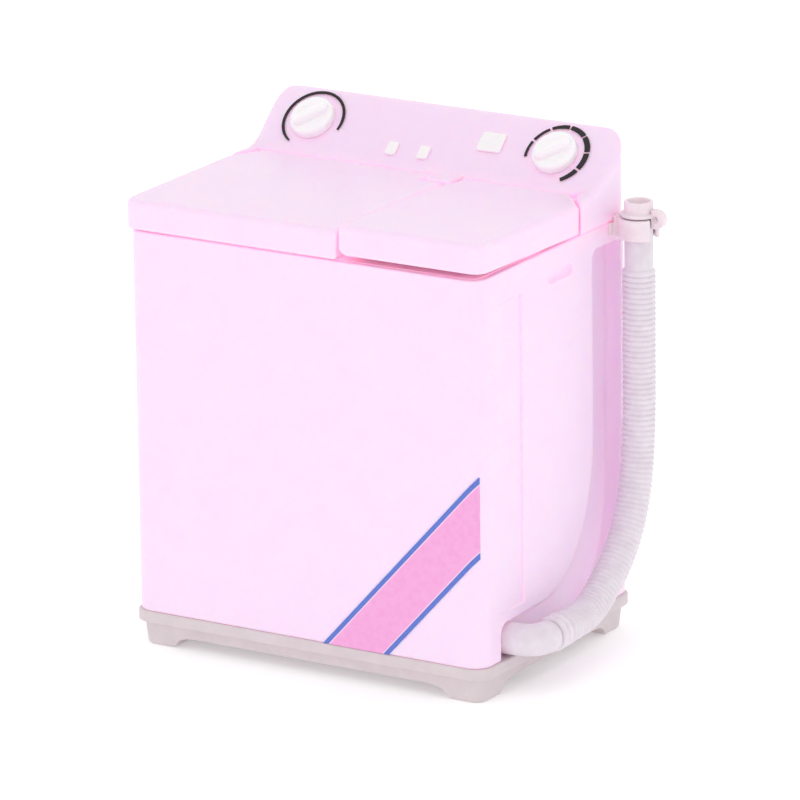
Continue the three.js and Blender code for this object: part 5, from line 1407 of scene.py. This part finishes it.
def coverScrewPlaces(look):
    side = cabinetLook["coverWidth"] / 2 - look["screwInset"]
    low = cabinetLook["coverBottom"] + look["screwInset"]
    high = cabinetLook["coverTop"] - look["screwInset"]
    return [(x, z) for x in (-side, side) for z in (low, high)]


makeCover(coverLook)

screwLook = {
    "shank": 0.6, "head": 1.2, "headHeight": 0.7, "length": 5.0, "slot": 0.35, "slotDepth": 0.35,
    "turns": 7,
}


# A pan-head screw that points up, its head's under face at zero
def screwPart(look):
    head, high, shank = look["head"], look["headHeight"], look["shank"]
    profile = [(0, -high), (head * 0.55, -high), (head * 0.85, -high * 0.86),
               (head * 0.98, -high * 0.5), (head, -high * 0.15), (head * 0.97, 0), (shank, 0)]
    turns = look["turns"]
    step = (look["length"] - 1.4) / turns
    for i in range(turns):
        low = 0.6 + (look["length"] - 1.4) * i / turns
        profile += [(shank * 0.82, low), (shank, low + step * 0.5)]
    profile += [(shank * 0.8, look["length"] - 0.8), (0.05, look["length"]), (0, look["length"])]
    screw = turned(profile, 32)
    slot = block(rectangle(-2, 2, -look["slot"] / 2, look["slot"] / 2, 0.05),
                 [(0, -high - 0.5), (0, -high + look["slotDepth"])], 2)
    return cutFrom(screw, slot)


def makeScrews(name, places, tilt, nodes):
    part = screwPart(screwLook)
    screws = grow(pointCloud(places), atPoints, {
        "Part": part, "Tilt": tilt, "Material": finishes["screwSteel"],
    })
    bpy.data.objects.remove(part)
    return handOver(screws, name, "screw_steel", *nodes, smooth=30)


baseScrewZ = baseLook["footHeight"] + screwLook["headHeight"] + 0.075
makeScrews("base_screws", [(x, y, baseScrewZ) for x in (-baseLook["screwX"], baseLook["screwX"])
                           for y in (-baseLook["screwY"], baseLook["screwY"])], (0, 0, 0),
           ["base_screw_%d" % i for i in range(1, 5)])
coverScrewY = halfDepth - screwLook["headHeight"]
makeScrews("cover_screws", [(x, coverScrewY, z) for x, z in coverScrewPlaces(coverLook)],
           (math.pi / 2, 0, 0), ["cover_screw_%d" % i for i in range(1, 5)])


# Drain hose, its elbow, the clip and the end socket
hoseLook = {
    "x": 31.6, "bore": 1.3, "cuff": 1.95, "crest": 2.3, "valley": 2.05, "pitch": 0.745,
    "collarPitch": 1.3, "collarRibs": 3, "collarCrest": 2.45, "cuffLength": 7.1, "sides": 40,
    "top": 59.65, "topY": 15.45, "startY": -9.0, "startZ": 7.6, "spigot": 1.9,
    "shares": ((0.139, 0), (0.254, 0), (0.38, 0.005), (0.491, 0.023), (0.614, 0.059), (0.713, 0.095),
               (0.823, 0.151), (0.912, 0.225), (0.966, 0.315), (0.989, 0.41), (0.999, 0.51),
               (1, 0.63), (1, 0.815), (1, 1)),
}


# Centripetal curve through the route's points, finely sampled
def throughPoints(points, steps=24):
    padded = [points[0] * 2 - points[1]] + points + [points[-1] * 2 - points[-2]]
    line = []
    for before, start, end, after in zip(padded, padded[1:], padded[2:], padded[3:]):
        first, middle, last = (
            max((b - a).length ** 0.5, 1e-6) for a, b in ((before, start), (start, end), (end, after))
        )
        leaving = (start - before) / first - (end - before) / (first + middle) + (end - start) / middle
        arriving = (end - start) / middle - (after - start) / (middle + last) + (after - end) / last
        leaving, arriving = leaving * middle, arriving * middle
        for i in range(steps):
            t = i / steps
            line.append(start * (2 * t ** 3 - 3 * t ** 2 + 1) + leaving * (t ** 3 - 2 * t ** 2 + t)
                        + end * (-2 * t ** 3 + 3 * t ** 2) + arriving * (t ** 3 - t ** 2))
    return line + [points[-1]]


def hoseRoute(look):
    points = [Vector((look["x"], look["startY"], look["startZ"])),
              Vector((look["x"], look["startY"] + look["spigot"], look["startZ"]))]
    for back, rise in look["shares"]:
        points.append(Vector((look["x"], look["startY"] + back * (look["topY"] - look["startY"]),
                              look["startZ"] + rise * (look["top"] - look["startZ"]))))
    return throughPoints(points)


def makeHose(look):
    line = hoseRoute(look)
    length = sum((b - a).length for a, b in zip(line, line[1:]))
    curve = bpy.data.curves.new("route", "CURVE")
    curve.dimensions = "3D"
    spline = curve.splines.new("POLY")
    spline.points.add(len(line) - 1)
    for point, place in zip(spline.points, line):
        point.co = (*place, 1)
    carrier = linked("route", curve)
    collar = look["collarPitch"] * look["collarRibs"]
    room = length - look["cuffLength"] - collar
    pitch = room / math.floor(room / look["pitch"])
    addGroup(carrier, ribbedHose, {
        "Valley": look["valley"], "Crest": look["crest"], "Pitch": pitch,
        "Collar Crest": look["collarCrest"], "Collar Pitch": look["collarPitch"],
        "Collar Length": collar, "Cuff": look["cuff"], "Cuff Start": length - look["cuffLength"],
        "Step": pitch / 8, "Sides": look["sides"], "Material": finishes["hoseVinyl"],
    })
    graph = bpy.context.evaluated_depsgraph_get()
    skin = bpy.data.meshes.new_from_object(carrier.evaluated_get(graph))
    bpy.data.objects.remove(carrier)
    hose = linked("hose", skin)
    closeHose(hose, line, look)
    return handOver(hose, "ribbed_drain_hose", "hose_grey", "drain_hose", smooth=60)


# Gives the open skin its bore and its two end faces
def closeHose(hose, line, look):
    shape = bmesh.new()
    shape.from_mesh(hose.data)
    rims = [edge for edge in shape.edges if edge.is_boundary]
    loops = []
    while rims:
        loop, rest = [rims[0].verts[0]], set(rims)
        while True:
            nexts = [e for e in loop[-1].link_edges if e in rest]
            if not nexts:
                break
            rest.discard(nexts[0])
            loop.append(nexts[0].other_vert(loop[-1]))
        loops.append(loop[:-1] if loop[0] is loop[-1] else loop)
        rims = list(rest)
    first, last = sorted(loops, key=lambda loop: sum((v.co.z for v in loop)) / len(loop))
    sides = len(first)
    rings = []
    stops = [line[0]] + line[6:-6:6] + [line[-1]]
    for i, place in enumerate(stops):
        way = (stops[min(i + 1, len(stops) - 1)] - stops[max(i - 1, 0)]).normalized()
        side = Vector((1, 0, 0))
        lift = way.cross(side).normalized()
        ring = []
        for angle in circle(sides):
            spoke = side * math.cos(angle) + lift * math.sin(angle)
            ring.append(shape.verts.new(place + spoke * look["bore"]))
        rings.append(ring)
    for near, far in zip(rings, rings[1:]):
        for k in range(sides):
            shape.faces.new((near[k], near[k - 1], far[k - 1], far[k]))
    for outer, inner in ((first, rings[0]), (last, rings[-1])):
        edges = [e for e in shape.edges if e.is_boundary and (
            all(v in outer for v in e.verts) or all(v in inner for v in e.verts))]
        bmesh.ops.bridge_loops(shape, edges=edges)
    bmesh.ops.recalc_face_normals(shape, faces=shape.faces)
    shape.to_mesh(hose.data)
    shape.free()


makeHose(hoseLook)

elbowLook = {"y": -12.6, "radius": 2.2, "bend": 3.0, "outlet": 0.3, "startX": 22.0}


def makeElbow(look):
    x, z = hoseLook["x"], hoseLook["startZ"]
    stops = [((look["startX"], look["y"]), 0.0), ((halfCabinet - 1.2, look["y"]), 0.0)]
    centre = (x - look["bend"], look["y"] + look["bend"])
    for i in range(25):
        angle = math.pi / 2 * i / 24
        stops.append(((centre[0] + look["bend"] * math.sin(angle),
                       centre[1] - look["bend"] * math.cos(angle)), angle))
    end = centre[1] + look["outlet"]
    stops.append(((x, end - 0.16), math.pi / 2))

    def ring(stop, reach):
        (px, py), turn = stop
        across, up = Vector((-math.sin(turn), math.cos(turn), 0)), Vector((0, 0, 1))
        return [Vector((px, py, z)) + across * reach * math.cos(a) + up * reach * math.sin(a)
                for a in circle(48)]

    outer = [ring(stop, look["radius"]) for stop in stops]
    lastStop = ((x, end), math.pi / 2)
    outer.append(ring(((x, end - 0.05), math.pi / 2), look["radius"] - 0.06))
    outer.append(ring(lastStop, look["radius"] - 0.2))
    inner = [ring(stop, hoseLook["bore"]) for stop in [lastStop] + stops[::-1]]
    body = loft(outer + inner, looped=True)
    spigot = hoseLook["spigot"]
    pipe = rod(hoseLook["bore"] - 0.15, "y", end - spigot, end + spigot, (x, z), 40)
    web = rod(hoseLook["bore"] + 0.15, "y", end - spigot, end - 0.3, (x, z), 40)
    joined(body, pipe, web)
    cutFrom(body, rod(0.7, "y", end - spigot - 1, end + spigot + 1, (x, z), 32))
    return handOver(body, "elbow", "hose_grey", "drain_elbow", smooth=40)


makeElbow(elbowLook)

clipLook = {
    "low": 56.95, "height": 2.85, "collar": 2.83, "bore": 2.18, "mouth": 32, "arm": 2.3, "pad": 3.0,
    "padThickness": 0.5, "edge": 0.22,
}


def makeClip(look):
    x, y, low, high = hoseLook["x"], hoseLook["topY"], look["low"], look["low"] + look["height"]
    mouth = look["mouth"]
    middle, half = (look["collar"] + look["bore"]) / 2, (look["collar"] - look["bore"]) / 2
    outline = arcPoints((x, y), look["collar"], mouth, 360 - mouth, 72)
    tip = math.radians(360 - mouth)
    outline += arcPoints((x + middle * math.cos(tip), y + middle * math.sin(tip)), half,
                         360 - mouth, 360 - mouth + 180, 8)[1:-1]
    outline += arcPoints((x, y), look["bore"], 360 - mouth, mouth, 72)
    tip = math.radians(mouth)
    outline += arcPoints((x + middle * math.cos(tip), y + middle * math.sin(tip)), half,
                         mouth + 180, mouth + 360, 8)[1:-1]
    collar = prism(outline, "z", low, high)
    padX, padY = halfCabinet + look["padThickness"], look["pad"] / 2
    pad = prism([(halfCabinet, y - padY), (padX, y - padY), (padX, y + padY), (halfCabinet, y + padY)],
                "z", low, high)
    armEnd = x - look["bore"] - 0.25
    arm = prism([(halfCabinet + 0.1, y - look["arm"] / 2), (armEnd, y - look["arm"] / 2 + 0.35),
                 (armEnd, y + look["arm"] / 2 - 0.35), (halfCabinet + 0.1, y + look["arm"] / 2)],
                "z", low, high)
    joined(collar, pad, arm)
    # above the cabinet the arm keeps clear of the console
    room = prism([(halfCabinet - 1, y - 4), (halfWidth + seam, y - 4),
                  (halfWidth + seam, y + 4), (halfCabinet - 1, y + 4)],
                 "z", cabinetTop, high + 1)
    cutFrom(collar, room)
    eased(collar, look["edge"], 4, 50)
    return handOver(collar, "clip", "clip_beige", "hose_clip", smooth=50)


makeClip(clipLook)

socketLook = {
    "base": 59.95, "flange": 2.5, "flangeThickness": 0.5, "radius": 2.0, "bore": 1.45, "height": 2.1,
    "lugOuter": 1.3, "lugInner": 0.5, "lugThickness": 1.1, "lugHeight": 59.8, "spigot": 1.15,
    "spigotBore": 0.7, "spigotLength": 1.9,
}


def makeSocket(look):
    base, top = look["base"], look["base"] + look["height"]
    rim, spigotEnd = base + look["flangeThickness"], base - look["spigotLength"]
    flange, radius, bore = look["flange"], look["radius"], look["bore"]
    profile = [(bore, base + 0.9), (bore, top - 0.18), (bore + 0.16, top), (radius - 0.18, top),
               (radius - 0.05, top - 0.06), (radius, top - 0.2), (radius, rim + 0.25),
               (radius + 0.07, rim + 0.07), (radius + 0.25, rim), (flange - 0.14, rim),
               (flange - 0.04, rim - 0.05), (flange, rim - 0.16), (flange, base + 0.12),
               (flange - 0.1, base), (look["spigot"], base), (look["spigot"], spigotEnd),
               (look["spigotBore"], spigotEnd), (look["spigotBore"], base + 0.9)]
    return turned(profile, 64, looped=True)


def makeEndSocket(look):
    x, y = hoseLook["x"], hoseLook["topY"]
    socket = moved(makeSocket(look), Matrix.Translation((x, y, 0)))
    lugX = boxOf("hose_end_socket")[1].x - look["lugOuter"]
    middleZ = look["lugHeight"]
    outer = arcPoints((lugX, middleZ), look["lugOuter"], -90, 90, 24)
    start = x + clipLook["bore"]
    outline = [(start, middleZ - look["lugOuter"])] + outer + [(start, middleZ + look["lugOuter"])]
    lug = prism(outline, "y", y - look["lugThickness"] / 2, y + look["lugThickness"] / 2)
    eye = rod(look["lugInner"], "y", y - 2, y + 2, (lugX, middleZ), 32)
    cutFrom(lug, eye)
    cutFrom(lug, rod(clipLook["bore"], "z", look["base"] - 4, look["base"], (x, y), 64))
    eased(lug, 0.14, 3, 50)
    joined(socket, lug)
    cutFrom(socket, rod(look["bore"], "z", look["base"] + 0.9, 80, (x, y), 64))
    return handOver(socket, "end_socket", "clip_beige", "hose_end_socket", smooth=45)


makeEndSocket(socketLook)
print("hose pieces made")

# Small fixings inside keep their CAD shape and take a moulded finish
for node, finish in (("pulsator_clip", "whiteGlossPlastic"), ("spin_basket_clip", "whiteGlossPlastic"),
                     ("wash_timer_clip", "whiteGlossPlastic"), ("spin_timer_clip", "whiteGlossPlastic"),
                     ("drain_elbow_nut", "warmGreyPlastic")):
    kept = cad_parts[node]
    for place in kept.material_slots:
        place.material = finishes[finish]


# Light: an even white surround and one broad soft lamp
lightLook = {"surround": 0.94, "lamp": 0.4, "lampSize": 0.5, "lampPlace": (0.12, -0.45, 0.95),
             "floorColour": "FFFFFF", "floorLift": 0.2}


def makeWorld(look):
    world = bpy.data.worlds.new("surround")
    bpy.context.scene.world = world
    world.use_nodes = True
    tree = world.node_tree
    tree.nodes.clear()
    ways = addNode(tree, "ShaderNodeLightPath").outputs
    seen = mathStep(tree, "MAXIMUM", ways["Is Camera Ray"], ways["Is Glossy Ray"])
    seen = mathStep(tree, "MAXIMUM", seen, ways["Is Transmission Ray"])
    light = addNode(tree, "ShaderNodeBackground", {
        "Color": paint("FFFFFF"), "Strength": spread(tree, seen, look["surround"], 1),
    })
    addNode(tree, "ShaderNodeOutputWorld", {"Surface": light.outputs["Background"]})


def makeLamp(look):
    data = bpy.data.lights.new("softbox", "AREA")
    data.shape = "DISK"
    data.size = look["lampSize"]
    data.energy = look["lamp"]
    lamp = linked("softbox", data)
    place = Vector(look["lampPlace"])
    lamp.location = place
    lamp.rotation_euler = (Vector((0, 0, 0.035)) - place).to_track_quat("-Z", "Y").to_euler()


def whiteSweep(look):
    material, tree = startMaterial("white_sweep")
    space = millimetreSpace(tree)
    fibre = noise(tree, space, 0.8, 3, 0.5)
    colour = colourRamp(tree, fibre, [(0.3, paint("FDFDFD")), (0.7, paint(look["floorColour"]))])
    shader = addNode(tree, "ShaderNodeBsdfPrincipled", {
        "Base Color": colour, "Emission Color": colour, "Emission Strength": look["floorLift"],
        "Roughness": 0.9, "Specular IOR Level": 0.1,
    })
    addNode(tree, "ShaderNodeOutputMaterial", {"Surface": shader.outputs["BSDF"]})
    return material


def makeFloor(look):
    rings = [[(-2, -2, z), (2, -2, z), (2, 2, z), (-2, 2, z)] for z in (-0.01, 0.0)]
    floor = loft(rings)
    floor.name = floor.data.name = "floor"
    floor.data.materials.append(whiteSweep(look))


makeWorld(lightLook)
makeLamp(lightLook)
makeFloor(lightLook)
bpy.context.scene.view_settings.view_transform = "Standard"
print("stage lit")
